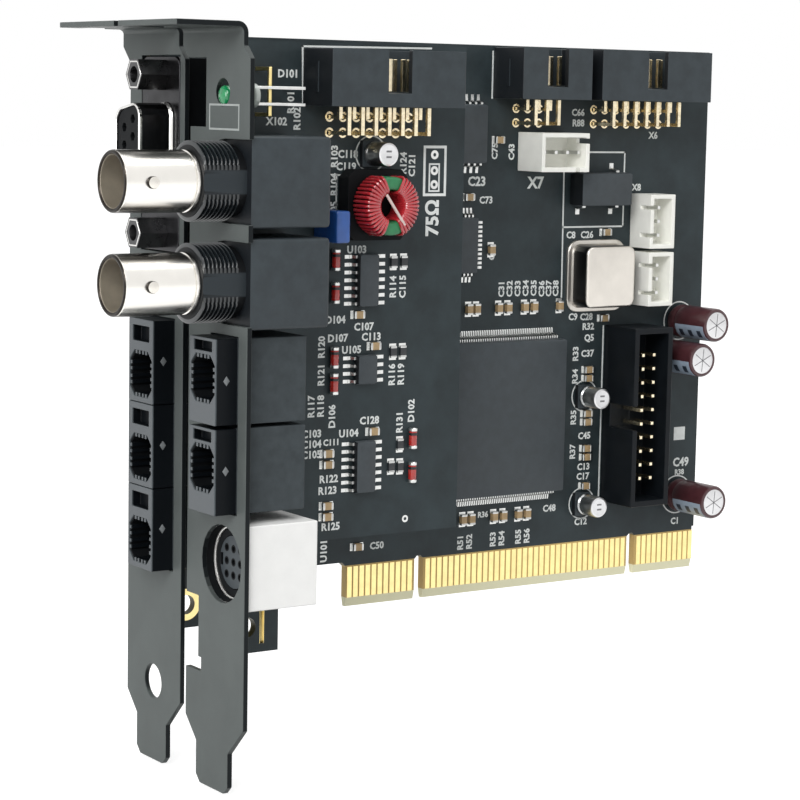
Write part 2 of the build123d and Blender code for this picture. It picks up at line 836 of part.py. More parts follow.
for column in (-1, 0, 1):
    for row in (-1, 0, 1):
        tall = round_tall + column * round_hole_pitch
        round_insert -= bar(tall, row * round_hole_pitch, round_hole_diameter, hole_depth, hole_sides)
save("round_connector_insert", round_place * round_insert)

# Indicator lamp: a domed lens behind the bracket, on two bent legs, with a wire strap beside it
rim_front = lamp_rim_length - lamp_back
lamp = bar(0, 0, lamp_diameter, (-lamp_back, -lamp_recess), round_sides)
lamp = chamfer(lamp.edges().group_by(Axis.Z)[-1], lamp_nose)
lamp += bar(0, 0, lamp_rim_diameter, (-lamp_back, rim_front), round_sides)
save("indicator_lamp", expansion_panel * Pos(lamp_tall, lamp_up, 0) * lamp)

lamp_legs = []
leg_face = polygon([
    (lamp_back, lamp_tall - leg_thickness / 2),
    (lamp_back, lamp_tall + leg_thickness / 2),
    (leg_end, lamp_tall + leg_thickness / 2),
    (leg_end, 0),
    (leg_end - leg_thickness, 0),
    (leg_end - leg_thickness, lamp_tall - leg_thickness / 2),
])
flat_on_end = Plane(origin=(0, 0, 0), x_dir=(1, 0, 0), z_dir=(0, -1, 0))
for offset in (-leg_spacing / 2, leg_spacing / 2):
    leg = extrude(flat_on_end * leg_face, amount=leg_thickness / 2, both=True)
    lamp_legs.append(expansion_face * Pos(0, lamp_up + offset, 0) * leg)
save("lamp_legs", *lamp_legs)

strap = block(around(strap_along, strap_thickness), (strap_bottom, strap_top), (0, strap_tall))
strap_inside = (strap_bottom + strap_thickness, strap_top - strap_thickness)
strap -= block(around(strap_along, 2 * strap_thickness), strap_inside, (-1, strap_tall - strap_thickness))
save("wire_strap", expansion_face * strap)


# Box headers: a keyed shroud open at the top, with two rows of square pins in its floor
def row_places(count, pitch):
    """Places along a centred row."""
    return [(place - (count - 1) / 2) * pitch for place in range(round(count))]


def bare_shroud(columns):
    """The moulded box with its cavity and the key slot in one long wall."""
    length = (columns - 1) * pin_pitch + shroud_margin
    shroud = block(around(0, length), around(0, shroud_width), (0, shroud_height))
    inner_length = length - 2 * shroud_wall
    inner_width = shroud_width - 2 * shroud_wall
    above = 2 * shroud_height
    shroud -= block(around(0, inner_length), around(0, inner_width), (shroud_floor, above))
    slot_side = (0, shroud_width)
    return shroud - block(around(0, key_slot_width), slot_side, (shroud_height - key_slot_depth, above))


def pin_tips(columns):
    """Two rows of square pins standing on the shroud's floor."""
    tips = []
    for row in (-pin_pitch / 2, pin_pitch / 2):
        for x in row_places(columns, pin_pitch):
            tip = block(around(x, pin_thickness), around(row, pin_thickness), (shroud_floor, pin_top))
            tips.append(tip)
    return tips


def pin_tails(columns):
    """Two rows of tails that leave the bottom of a lying shroud and turn into the board."""
    half = pin_thickness / 2
    board = -shroud_width / 2
    tails = []
    for row, bend in ((-pin_pitch / 2, -pin_bend), (pin_pitch / 2, -pin_bend - pin_pitch)):
        face = polygon([
            (row - half, 0),
            (row + half, 0),
            (row + half, bend - half),
            (board, bend - half),
            (board, bend + half),
            (row - half, bend + half),
        ])
        tail = extrude(Plane.YZ * face, amount=half, both=True)
        tails += [Pos(x, 0, 0) * tail for x in row_places(columns, pin_pitch)]
    return tails


def save_header(name, frame, columns, tails):
    """Write a header's shroud and its pins, inside the shroud and below it."""
    save(f"{name}_shroud", frame * bare_shroud(columns))
    save(f"{name}_pins", *[frame * pin for pin in [*pin_tips(columns), *tails]])


def lying(face, along, bottom):
    """The frame of a header that lies on a board and opens upward."""
    return face * Plane(origin=(along, bottom, shroud_width / 2), x_dir=(-1, 0, 0), z_dir=(0, 1, 0))


def standing(along, up):
    """The frame of a part that stands on the main board, its row of pins running up the board."""
    return main_face * Plane(origin=(along, up, 0), x_dir=(0, 1, 0), z_dir=(0, 0, 1))


expansion_frame = lying(expansion_face, expansion_header_along, expansion_header_bottom)
short_frame = lying(main_face, short_header_along, main_header_bottom)
long_frame = lying(main_face, long_header_along, main_header_bottom)
upright_frame = standing(upright_header_along, upright_header_up)
expansion_tails = pin_tails(expansion_header_column_count)
save_header("expansion_header", expansion_frame, expansion_header_column_count, expansion_tails)
save_header("short_header", short_frame, short_header_column_count, pin_tails(short_header_column_count))
save_header("long_header", long_frame, long_header_column_count, pin_tails(long_header_column_count))
save_header("upright_header", upright_frame, upright_header_column_count, [])


# Ivory sockets: open moulded boxes with one row of square pins, the largest notched in two walls
def ivory_socket(ways, margin, width, tall, slots):
    """A box with a cavity, slotted beside the outer pins where it is keyed, and its pins."""
    length = ways * pin_pitch + margin
    outer_places = row_places(ways, pin_pitch)[::ways - 1]
    body = block(around(0, length), around(0, width), (0, tall))
    inner_length = length - 2 * socket_wall
    body -= block(around(0, inner_length), around(0, width - 2 * socket_wall), (socket_floor, 2 * tall))
    for x in outer_places if slots else []:
        body -= block(around(x, socket_slot), (0, width), (tall - socket_slot_depth, 2 * tall))
    pins = []
    for x in row_places(ways, pin_pitch):
        pin_size = (around(x, pin_thickness), around(0, pin_thickness))
        pins.append(block(*pin_size, (socket_floor, tall - socket_pin_recess)))
    return body, pins


four_way_frame = main_face * Pos(four_way_along, four_way_up, 0)
four_way, socket_pins = ivory_socket(4, socket_margin, four_way_width, four_way_tall, False)
notch_height = (four_way_tall - socket_slot_depth, 2 * four_way_tall)
end_notch = around(four_way_width / 2 - four_way_notch_drop, four_way_notch)
four_way -= block((0, four_way_length), end_notch, notch_height)
side_notch = around(four_way_length / 2 - four_way_notch_inset, four_way_notch)
four_way -= block(side_notch, (-four_way_width, 0), notch_height)
save("four_way_socket", four_way_frame * four_way)
socket_pins = [four_way_frame * pin for pin in socket_pins]
for place, name in enumerate(["upper", "lower"]):
    frame = standing(three_way_along, three_way_up - place * three_way_pitch)
    three_way, pins = ivory_socket(3, three_way_margin, three_way_width, three_way_tall, True)
    save(f"three_way_socket_{name}", frame * three_way)
    socket_pins += [frame * pin for pin in pins]
save("socket_pins", *socket_pins)

# Oscillator: a pressed can with a flange round its foot
oscillator_face = ease_corners(Rectangle(oscillator_width, oscillator_width), oscillator_radius)
oscillator = slab(oscillator_face, (0, oscillator_tall))
oscillator = chamfer(oscillator.edges().group_by(Axis.Z)[-1], oscillator_top_cut)
oscillator_foot = ease_corners(Rectangle(oscillator_flange, oscillator_flange), oscillator_flange_radius)
oscillator += slab(oscillator_foot, (0, oscillator_flange_thickness))
save("oscillator_can", main_face * Pos(oscillator_along, oscillator_up, 0) * oscillator)


# Chips: moulded bodies with leads that run from the middle of the side down to the board
def chip_body(width, length, standoff, tall):
    """A moulded body with its top edges broken."""
    body = block(around(0, width), around(0, length), (standoff, tall))
    return chamfer(body.edges().group_by(Axis.Z)[-1], chip_chamfer)


def lead(root, reach, width, thickness):
    """One lead that thins as it slopes from the body's side down to the board."""
    side_view = polygon([(0, root), (0, root + thickness), (reach, 0)])
    return extrude(Plane.YZ * side_view, amount=width / 2, both=True)


def lead_rows(one_lead, places, half_width, turns):
    """Rows of leads on the sides of a body, each side a turn about its centre."""
    rows = []
    for turn in turns:
        rows += [Rot(0, 0, turn) * Pos(x, half_width, 0) * one_lead for x in places]
    return rows


four_sides = (0, 90, 180, 270)
array_place = main_face * Pos(array_along, array_up, 0)
save("logic_array_chip", array_place * chip_body(array_width, array_width, array_standoff, array_tall))
array_root = lead_root_share * array_tall
array_lead = lead(array_root, array_lead_reach, array_lead_width, array_lead_thickness)
array_places = row_places(array_lead_count, array_lead_pitch)
array_leads = lead_rows(array_lead, array_places, array_width / 2, four_sides)
save("logic_array_leads", *[array_place * one for one in array_leads])

clock_place = main_face * Pos(clock_along, clock_up, 0)
save("clock_chip", clock_place * chip_body(clock_width, clock_width, clock_standoff, clock_tall))
clock_root = lead_root_share * clock_tall
clock_lead = lead(clock_root, clock_lead_reach, clock_lead_width, clock_lead_thickness)
clock_places = row_places(clock_lead_count, clock_lead_pitch)
clock_leads = lead_rows(clock_lead, clock_places, clock_width / 2, four_sides)
save("clock_chip_leads", *[clock_place * one for one in clock_leads])

memory_place = main_face * Pos(memory_along, memory_up, 0)
save("memory_chip", memory_place * chip_body(memory_length, memory_width, small_chip_standoff, memory_tall))
memory_root = lead_root_share * memory_tall
memory_lead = lead(memory_root, small_lead_reach, small_lead_width, small_lead_thickness)
memory_places = row_places(memory_lead_count, small_lead_pitch)
memory_leads = lead_rows(memory_lead, memory_places, memory_width / 2, (0, 180))
save("memory_chip_leads", *[memory_place * one for one in memory_leads])

small_chips = []
small_leads = []
small_root = lead_root_share * small_chip_tall
small_lead = lead(small_root, small_lead_reach, small_lead_width, small_lead_thickness)
chip_rows = [
    (upper_chip_up, upper_chip_column_count, upper_chip_length),
    (middle_chip_up, middle_chip_column_count, middle_chip_length),
    (lower_chip_up, lower_chip_column_count, lower_chip_length),
]
for up, columns, length in chip_rows:
    place = expansion_face * Pos(small_chip_along, up, 0)
    small_chips.append(place * chip_body(small_chip_width, length, small_chip_standoff, small_chip_tall))
    places = row_places(columns, small_lead_pitch)
    rows = lead_rows(small_lead, places, small_chip_width / 2, (90, 270))
    small_leads += [place * one for one in rows]
save("small_chips", *small_chips)
save("small_chip_leads", *small_leads)

transformer_place = main_face * Pos(transformer_along, transformer_up, 0)
transformer = chip_body(transformer_length, transformer_width, small_chip_standoff, transformer_tall)
save("pulse_transformer", transformer_place * transformer)
transformer_root = lead_root_share * transformer_tall
transformer_lead = lead(transformer_root, small_lead_reach, transformer_lead_width, small_lead_thickness)
transformer_places = row_places(2, transformer_lead_spacing)
transformer_leads = lead_rows(transformer_lead, transformer_places, transformer_width / 2, (0, 180))
save("pulse_transformer_leads", *[transformer_place * one for one in transformer_leads])

# Radial capacitors: sleeved cans standing on the main board
radials = []
radial_places = [
    (upper_radial_inset, upper_radial_up),
    (middle_radial_inset, middle_radial_up),
    (lower_radial_inset, lower_radial_up),
]
for inset, up in radial_places:
    radial = bar(main_end - inset, up, radial_diameter, (0, radial_tall), round_sides)
    radials.append(main_face * radial)
save("radial_capacitors", *radials)


# Surface can capacitors: a can on a square base with two corners cut
def can_base():
    """The moulded base plate."""
    plate = Rectangle(can_base_width, can_base_width)
    cut = plate.vertices().group_by(Axis.X)[-1]
    return slab(chamfer(cut, can_base_corner), (0, can_base_tall))


def can_body():
    """The pressed can."""
    return bar(0, 0, can_diameter, (can_base_tall, can_tall), round_sides)


main_can_along = upright_header_left - main_can_inset
upper_can_up = array_up + upper_can_rise
lower_can_up = array_up - lower_can_drop
can_places = [main_face * Pos(main_can_along, up, 0) for up in (upper_can_up, lower_can_up)]
can_places.append(expansion_face * Pos(choke_along + expansion_can_offset, expansion_can_up, 0))
save("can_capacitor_bases", *[place * can_base() for place in can_places])
save("can_capacitor_cans", *[place * can_body() for place in can_places])

# Ceramic chip parts: small blocks lying along or up the boards
column_along = upright_header_left - chip_column_inset
above_up = array_up + array_half_span + above_array_gap
below_up = array_up - array_half_span - below_array_gap
beside_can = can_base_width / 2 + chip_column_gap + chip_part_width / 2
middle_pair_up = upper_can_up - middle_pair_drop
column_ups = [
    upper_can_up + beside_can + chip_pair_pitch,
    upper_can_up + beside_can,
    upper_can_up - beside_can,
    upper_can_up - beside_can - chip_pair_pitch,
    middle_pair_up + chip_pair_pitch / 2,
    middle_pair_up - chip_pair_pitch / 2,
    lower_can_up + beside_can,
]
above_shares = (-0.215, -0.155, 0.02, 0.093, 0.225, 0.3, 0.507)
below_shares = (-0.225, -0.16, 0.02, 0.093, 0.215, 0.285)
right_column = [(column_along, up, 0) for up in column_ups]
above_array = [(array_along + share * array_width, above_up, 90) for share in above_shares]
below_array = [(array_along + share * array_width, below_up, 90) for share in below_shares]
beside_clock = (clock_along + clock_half_span + clock_part_gap, clock_up - clock_part_drop, 90)
above_clock = (clock_along + clock_width / 3, clock_up + clock_half_span + clock_part_gap, 0)
memory_part_along = memory_along + memory_length / 2 + memory_part_gap + chip_part_length / 2
beside_memory = (memory_part_along, memory_up - memory_part_drop, 0)
above_oscillator = (oscillator_along + oscillator_flange / 6, oscillator_top + chip_part_gap, 0)
below_oscillator = (oscillator_along + oscillator_flange / 6, upright_header_top + chip_part_gap, 0)
beside_tongue = (tongue_start + chip_part_length, shoulder_up + 2 * chip_part_gap, 0)
scattered = [beside_clock, above_clock, beside_memory, above_oscillator, below_oscillator, beside_tongue]
main_chip_parts = [*right_column, *above_array, *below_array, *scattered]
below_upper_chip = (small_chip_along - small_chip_width / 3, upper_chip_bottom - chip_part_gap, 0)
above_middle_chip = (small_chip_along + small_chip_width / 2, middle_chip_top + chip_part_gap, 0)
above_lower_chip = (small_chip_along + small_chip_width / 2, lower_chip_top + chip_part_gap, 0)
expansion_caps = [below_upper_chip, above_middle_chip, above_lower_chip]
resistor_along = small_chip_along - resistor_offset
resistor_ups = [
    *around(lower_chip_up + upper_resistor_rise, resistor_pitch),
    *around(lower_chip_up - lower_resistor_drop, resistor_pitch),
]
expansion_resistors = [(resistor_along, up, 0) for up in resistor_ups]
chip_part_places = [(main_face, *place) for place in main_chip_parts]
chip_part_places += [(expansion_face, *place) for place in [*expansion_caps, *expansion_resistors]]
chip_parts = []
for face, along, up, turn in chip_part_places:
    place = face * Pos(along, up, 0) * Rot(0, 0, turn)
    sides = (around(0, chip_part_length), around(0, chip_part_width))
    chip_parts.append(place * block(*sides, (0, chip_part_tall)))
save("chip_parts", *chip_parts)

# Dipped film capacitor: a blue slab with eased edges, standing on the expansion board
film = block(around(0, film_width), around(0, film_length), (0, film_tall))
film = chamfer(film.edges().filter_by(Axis.Z), film_corner)
save("film_capacitor", expansion_face * Pos(film_along, film_up, 0) * film)

# Glass diodes: small red barrels lying up the expansion board
diodes = []
diode_apothem = diode_diameter / 2 * cos(radians(180 / diode_sides))
upper_diodes = around(upper_chip_up + upper_diode_rise, upper_diode_pitch)
middle_diodes = around(middle_chip_up + middle_diode_rise, middle_diode_pitch)
lower_diodes = around(lower_chip_up + lower_diode_rise, lower_diode_pitch)
left_diodes = [(small_chip_along - left_diode_offset, up) for up in (*upper_diodes, *middle_diodes)]
right_diodes = [(small_chip_along + right_diode_offset, up) for up in lower_diodes]
for along, up in [*left_diodes, *right_diodes]:
    upward = Plane(origin=(along, up, diode_apothem), x_dir=(1, 0, 0), z_dir=(0, 1, 0))
    diode = Rot(0, 0, 180 / diode_sides) * bar(0, 0, diode_diameter, around(0, diode_length), diode_sides)
    diodes.append(expansion_face * upward * diode)
save("glass_diodes", *diodes)

# Toroidal choke: a ring core on a black base, wound on both sides with the ends left bare
choke_place = expansion_face * Pos(choke_along, choke_up, 0)
base_face = Rectangle(choke_base_width, choke_base_width)
choke_base = slab(chamfer(base_face.vertices(), choke_base_corner), (0, choke_base_tall))
save("choke_base", choke_place * choke_base)
core_bottom = choke_base_tall + wire_thickness
core = bar(0, 0, core_diameter, (core_bottom, core_bottom + core_tall), round_sides)
core -= bar(0, 0, core_bore, (0, 2 * core_bottom + core_tall), round_sides)
save("choke_core", choke_place * core)
core_radii = (core_bore / 2, core_diameter / 2)
core_heights = (core_bottom, core_bottom + core_tall)
turn_radii = (core_radii[0] - wire_thickness, core_radii[1] + wire_thickness)
turn_heights = (core_heights[0] - wire_thickness, core_heights[1] + wire_thickness)
turn = block(turn_radii, around(0, wire_thickness), turn_heights)
turn_inside = (core_radii[0] - winding_clearance, core_radii[1])
turn -= block(turn_inside, around(0, 2 * wire_thickness), core_heights)
winding = []
for side in (0, 180):
    for angle in row_places(turn_count, turn_angle):
        winding.append(choke_place * Rot(0, 0, side + angle) * turn)
save("choke_winding", *winding)
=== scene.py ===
from math import cos, pi, radians, sin, tan

import bpy
from mathutils import Matrix, Vector


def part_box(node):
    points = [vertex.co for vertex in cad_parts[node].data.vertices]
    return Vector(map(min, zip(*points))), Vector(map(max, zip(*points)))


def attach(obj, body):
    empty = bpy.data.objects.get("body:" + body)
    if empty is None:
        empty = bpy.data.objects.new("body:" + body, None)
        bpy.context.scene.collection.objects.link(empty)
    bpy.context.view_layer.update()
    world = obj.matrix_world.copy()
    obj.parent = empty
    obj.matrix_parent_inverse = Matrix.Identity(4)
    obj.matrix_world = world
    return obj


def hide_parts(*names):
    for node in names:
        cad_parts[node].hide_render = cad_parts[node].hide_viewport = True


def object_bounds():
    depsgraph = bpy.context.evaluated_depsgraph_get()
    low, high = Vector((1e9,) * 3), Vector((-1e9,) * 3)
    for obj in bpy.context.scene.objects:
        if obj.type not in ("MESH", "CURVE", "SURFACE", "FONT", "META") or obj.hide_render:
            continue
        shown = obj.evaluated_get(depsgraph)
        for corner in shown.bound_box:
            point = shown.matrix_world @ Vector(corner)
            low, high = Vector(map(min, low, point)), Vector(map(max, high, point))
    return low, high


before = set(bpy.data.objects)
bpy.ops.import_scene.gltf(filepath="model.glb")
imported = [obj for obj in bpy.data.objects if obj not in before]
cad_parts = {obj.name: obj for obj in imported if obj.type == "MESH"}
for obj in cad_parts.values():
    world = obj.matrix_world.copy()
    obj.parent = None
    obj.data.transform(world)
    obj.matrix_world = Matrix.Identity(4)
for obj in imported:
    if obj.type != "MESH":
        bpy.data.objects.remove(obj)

cad_box = [list(corner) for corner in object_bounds()]

# Boards: two sheets of glass-fibre laminate under black solder resist, routed to outline.
# Bare laminate shows on the cut edges and on the tongue, below the line where the resist stops.
mm = 0.001


def shade(red, green, blue):
    """A colour from its screen values, each 0 to 255."""
    shares = [value / 255 for value in (red, green, blue)]
    linear = [s / 12.92 if s <= 0.04045 else ((s + 0.055) / 1.055) ** 2.4 for s in shares]
    return (*linear, 1.0)


def link(material, source, output, target, socket):
    """Join one shader node's output to another's socket."""
    material.node_tree.links.new(source.outputs[output], target.inputs[socket])


def add(material, kind, **values):
    """A new shader node with some of its sockets set."""
    made = material.node_tree.nodes.new(kind)
    for socket, value in values.items():
        made.inputs[socket.replace("_", " ")].default_value = value
    return made


def two_tone(material, factor, low, high):
    """A ramp between two colours, driven by a node's first output."""
    ramp = add(material, "ShaderNodeValToRGB")
    for stop, place, colour in zip(ramp.color_ramp.elements, (0.35, 0.65), (low, high)):
        stop.color = colour
        stop.position = place
    link(material, factor, 0, ramp, "Fac")
    return ramp


def darker(colour, share):
    """The colour scaled by a share."""
    return (*[min(1.0, value * share) for value in colour[:3]], 1.0)


def finish(name, colour, roughness, metallic=0.0, drift=0.1, patch=1.0, grain=0.12, grit=0.15, **more):
    """A finish whose tone and gloss drift in patches, over a fine grain; patch and grit are in mm."""
    colour = shade(*colour)
    material = bpy.data.materials.new(name)
    material.use_nodes = True
    shader = material.node_tree.nodes["Principled BSDF"]
    shader.inputs["Metallic"].default_value = metallic
    for socket, value in more.items():
        shader.inputs[socket.replace("_", " ")].default_value = value
    place = add(material, "ShaderNodeTexCoord")
    patches = add(material, "ShaderNodeTexNoise", Scale=1 / (patch * mm), Detail=5.0, Roughness=0.6)
    link(material, place, "Object", patches, "Vector")
    tone = two_tone(material, patches, darker(colour, 1 - drift), darker(colour, 1 + drift))
    link(material, tone, "Color", shader, "Base Color")
    gloss = add(material, "ShaderNodeMapRange", To_Min=roughness * 0.85, To_Max=min(1.0, roughness * 1.15))
    link(material, patches, 0, gloss, "Value")
    link(material, gloss, 0, shader, "Roughness")
    specks = add(material, "ShaderNodeTexNoise", Scale=1 / (grit * mm), Detail=2.0)
    link(material, place, "Object", specks, "Vector")
    relief = add(material, "ShaderNodeBump", Strength=grain, Distance=0.02 * mm)
    link(material, specks, 0, relief, "Height")
    link(material, relief, 0, shader, "Normal")
    return material


resists = []
for name in ("main_resist", "resist"):
    resists.append(finish(name, (43, 52, 55), 0.45, drift=0.22, patch=6.0, grain=0.2, grit=0.5,
                          Specular_IOR_Level=0.25))


def axis_parts(material, kind):
    """The three parts of a surface's place or of its normal."""
    place = add(material, "ShaderNodeTexCoord")
    parts = add(material, "ShaderNodeSeparateXYZ")
    link(material, place, kind, parts, "Vector")
    return parts


def facing(material, axis, start, end, either_way=False):
    """A mask that grows as a face's normal leans from one share to another along an axis."""
    lean = add(material, "ShaderNodeMath")
    lean.operation = "ABSOLUTE" if either_way else "MULTIPLY"
    lean.inputs[1].default_value = 1.0
    link(material, axis_parts(material, "Normal"), axis, lean, 0)
    mask = add(material, "ShaderNodeMapRange", From_Min=start, From_Max=end)
    link(material, lean, 0, mask, "Value")
    return mask


def repaint(material, mask, colour, low=0.9):
    """Another colour where a mask is set, over what the finish has so far."""
    colour = shade(*colour)
    shader = material.node_tree.nodes["Principled BSDF"]
    source = shader.inputs["Base Color"].links[0].from_socket
    mixed = add(material, "ShaderNodeMixRGB")
    material.node_tree.links.new(source, mixed.inputs["Color1"])
    patches = add(material, "ShaderNodeTexNoise", Scale=1 / (0.8 * mm), Detail=4.0)
    tone = two_tone(material, patches, darker(colour, low), colour)
    link(material, tone, "Color", mixed, "Color2")
    link(material, mask, 0, mixed, "Fac")
    link(material, mixed, "Color", shader, "Base Color")


for resist in resists:
    repaint(resist, facing(resist, "Y", 0.62, 0.58, True), (112, 106, 76), 0.8)


def axis_band(material, axis, limit, below=True):
    """A mask of the points below, or above, a place on one axis, in mm."""
    mask = add(material, "ShaderNodeMath")
    mask.operation = "LESS_THAN" if below else "GREATER_THAN"
    mask.inputs[1].default_value = limit * mm
    link(material, axis_parts(material, "Object"), axis, mask, 0)
    return mask


def both_masks(material, first, second):
    """Where two masks are both set."""
    mask = add(material, "ShaderNodeMath")
    mask.operation = "MULTIPLY"
    link(material, first, 0, mask, 0)
    link(material, second, 0, mask, 1)
    return mask


resist_stop = 7.3
tongue_start = 40.3
bevel_top = 1.6
main_resist, expansion_resist = resists
on_tongue = axis_band(main_resist, "X", tongue_start, below=False)
below_resist = both_masks(main_resist, axis_band(main_resist, "Z", resist_stop), on_tongue)
repaint(main_resist, below_resist, (206, 176, 114), 0.88)
on_bevel = both_masks(main_resist, axis_band(main_resist, "Z", bevel_top), on_tongue)
repaint(main_resist, on_bevel, (244, 241, 206), 0.95)
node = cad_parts


def dress(material, *names, broken=0.0):
    """Give the frame's nodes a finish, and break their sharp edges by a width in mm."""
    for name in names:
        for slot in node[name].material_slots:
            slot.link = "OBJECT"
            slot.material = material
        if broken:
            joined = node[name].modifiers.new("joined", "WELD")
            joined.merge_threshold = 0.002 * mm
            edges = node[name].modifiers.new("broken_edges", "BEVEL")
            edges.width = broken * mm
            edges.segments = 2
            edges.limit_method = "ANGLE"
            edges.angle_limit = radians(40)
            edges.harden_normals = True


dress(main_resist, "main_board")
dress(expansion_resist, "expansion_board")

# Edge contacts: fingers of copper plated with hard gold, bright and slightly scored by insertion.
# The card carries them on both faces of its tongue, so the solder side repeats the row.
board_thickness = 1.57
gold = finish("gold", (245, 224, 158), 0.3, 1.0, drift=0.08, patch=2.0, grain=0.1, grit=0.2)
dress(gold, "edge_contacts")
grid = 500


def block(x_range, y_range, z_range):
    """A box between two limits on each axis."""
    points = [(x, y, z) for x in x_range for y in y_range for z in z_range]
    faces = [(0, 1, 3, 2), (4, 6, 7, 5), (0, 4, 5, 1), (2, 3, 7, 6), (0, 2, 6, 4), (1, 5, 7, 3)]
    return points, faces


def solids(name):
    """The boxes, in mm, of a node's separate solids, whose points are matched on a fine grid."""
    mesh = node[name].data
    spots = [tuple(round(value / mm * grid) for value in vertex.co) for vertex in mesh.vertices]
    owner = {spot: spot for spot in spots}

    def root(spot):
        while owner[spot] != spot:
            spot = owner[spot]
        return spot

    for face in mesh.polygons:
        first = root(spots[face.vertices[0]])
        for corner in face.vertices[1:]:
            other = root(spots[corner])
            owner[other] = first
    groups = {}
    for spot in owner:
        groups.setdefault(root(spot), []).append(spot)
    boxes = []
    for group in groups.values():
        low = Vector(min(spot[axis] for spot in group) / grid for axis in range(3))
        high = Vector(max(spot[axis] for spot in group) / grid for axis in range(3))
        boxes.append((low, high))
    return sorted(boxes, key=lambda box: (round(box[0].x, 2), round(box[0].z, 2), round(box[0].y, 2)))


back_contacts = []
for low, high in solids("edge_contacts"):
    behind = (board_thickness, board_thickness + high.y - low.y)
    back_contacts.append(block((low.x, high.x), behind, (low.z, high.z)))
crease = radians(35)


def moved(shape, place):
    """A shape carried into another frame."""
    points, faces = shape
    return [place @ Vector(point) for point in points], faces


def piece(name, shapes, material, slot, *stands_for, place=Matrix()):
    """Join shapes in mm, carried to a place, into one added piece that rides on the card."""
    points = []
    faces = []
    for shape in shapes:
        start = len(points)
        shape_points, shape_faces = moved(shape, place)
        points += [point * mm for point in shape_points]
        faces += [[start + corner for corner in face] for face in shape_faces]
    mesh = bpy.data.meshes.new(name)
    mesh.from_pydata(points, [], faces)
    mesh.materials.append(material)
    mesh.shade_smooth()
    mesh.set_sharp_from_angle(angle=crease)
    made = bpy.data.objects.new(name, mesh)
    bpy.context.scene.collection.objects.link(made)
    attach(made, "root")
    if stands_for:
        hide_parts(*stands_for)


piece("edge_contacts_solder_side", back_contacts, gold, "gold")

# Foot pads: gold rings round the mounting hole in the main board's foot, and the plated wall of the
# narrow slot beside the hole of the expansion board.
slot_pitch = 20.32
main_face = Matrix(((1, 0, 0, 0), (0, 0, -1, 0), (0, 1, 0, 0), (0, 0, 0, 1)))
foot_hole = (8.8, 3.55)
slot_middle = 11.6
slot_half = 0.4
slot_ends = (0.7, 6.7)


def at(x, y, z=0.0):
    """A move to a place."""
    return Matrix.Translation((x, y, z))


def circle(radius, height, x, y, count):
    """A loop of points round the third axis."""
    turns = [2 * pi * step / count for step in range(count)]
    return [(x + radius * cos(turn), y + radius * sin(turn), height) for turn in turns]


def stack(loops):
    """A skin through loops of equal count, closed at both ends."""
    count = len(loops[0])
    faces = [list(range(count))[::-1]]
    for level in range(len(loops) - 1):
        start = level * count
        for step in range(count):
            following = (step + 1) % count
            faces.append((start + step, start + following, start + count + following, start + count + step))
    faces.append([(len(loops) - 1) * count + step for step in range(count)])
    return [point for loop in loops for point in loop], faces


def closed_skin(loops):
    """A skin through loops that ends where it began."""
    points, faces = stack(loops)
    count = len(loops[0])
    last = (len(loops) - 1) * count
    closing = [(last + step, last + (step + 1) % count, (step + 1) % count, step) for step in range(count)]
    return points, faces[1:-1] + closing


def tube(profile, x=0.0, y=0.0, count=40):
    """A turned form with a bore, from a profile that goes up its outside and down its inside."""
    return closed_skin([circle(radius, height, x, y, count) for radius, height in profile])


def washer(along, up, outer, inner, bottom, top, count=24):
    """A flat ring on a board, such as the pad round a pin."""
    return tube([(inner, bottom), (outer, bottom), (outer, top), (inner, top)], along, up, count)


expansion_face = at(0, -slot_pitch) @ main_face
foot_pads = []
for bottom, top in ((0, 0.04), (-board_thickness - 0.04, -board_thickness)):
    foot_pads.append(moved(washer(*foot_hole, 2.7, 1.66, bottom, top, 40), main_face))
for side in (-1, 1):
    edge = sorted((slot_middle + side * slot_half, slot_middle + side * (slot_half - 0.05)))
    foot_pads.append(moved(block(edge, slot_ends, (-board_thickness, 0.03)), expansion_face))
piece("foot_pads", foot_pads, gold, "gold")

# Slot brackets: steel strip, punched and folded, with a dark plated finish that is rubbed along
# the strip. A plain frame is printed below the lamp hole.
bracket_finish = finish("plated_steel", (84, 89, 88), 0.45, 0.1, drift=0.08, patch=9.0, grain=0.15,
                        grit=0.4, Specular_IOR_Level=0.12)
# Painted shade: faces that look along minus Y, the strips' edges and folds, are painted near black as if in shade.
repaint(bracket_finish, facing(bracket_finish, "Y", -0.6, -0.95), (26, 30, 32), 0.7)
dress(bracket_finish, "main_bracket", "expansion_bracket", broken=0.14)
main_panel = Matrix(((0, 0, -1, 0), (-1, 0, 0, 0), (0, 1, 0, 0), (0, 0, 0, 1)))
expansion_panel = at(0, -slot_pitch) @ main_panel
frame_ink = finish("frame_ink", (150, 155, 153), 0.5, drift=0.06, patch=2.0)


def drawn_frame(x_range, y_range, width, bottom, top):
    """Four strokes round a rectangle."""
    (x0, x1), (y0, y1) = x_range, y_range
    between = (y0 + width, y1 - width)
    sides = [(x_range, (y1 - width, y1)), (x_range, (y0, y0 + width))]
    sides += [((x0, x0 + width), between), ((x1 - width, x1), between)]
    return [block(*side, (bottom, top)) for side in sides]


printed_frame = drawn_frame((1.9, 11.2), (83.1, 87.1), 0.3, -0.02, 0.03)
piece("bracket_frame", printed_frame, frame_ink, "bracket", place=expansion_panel)
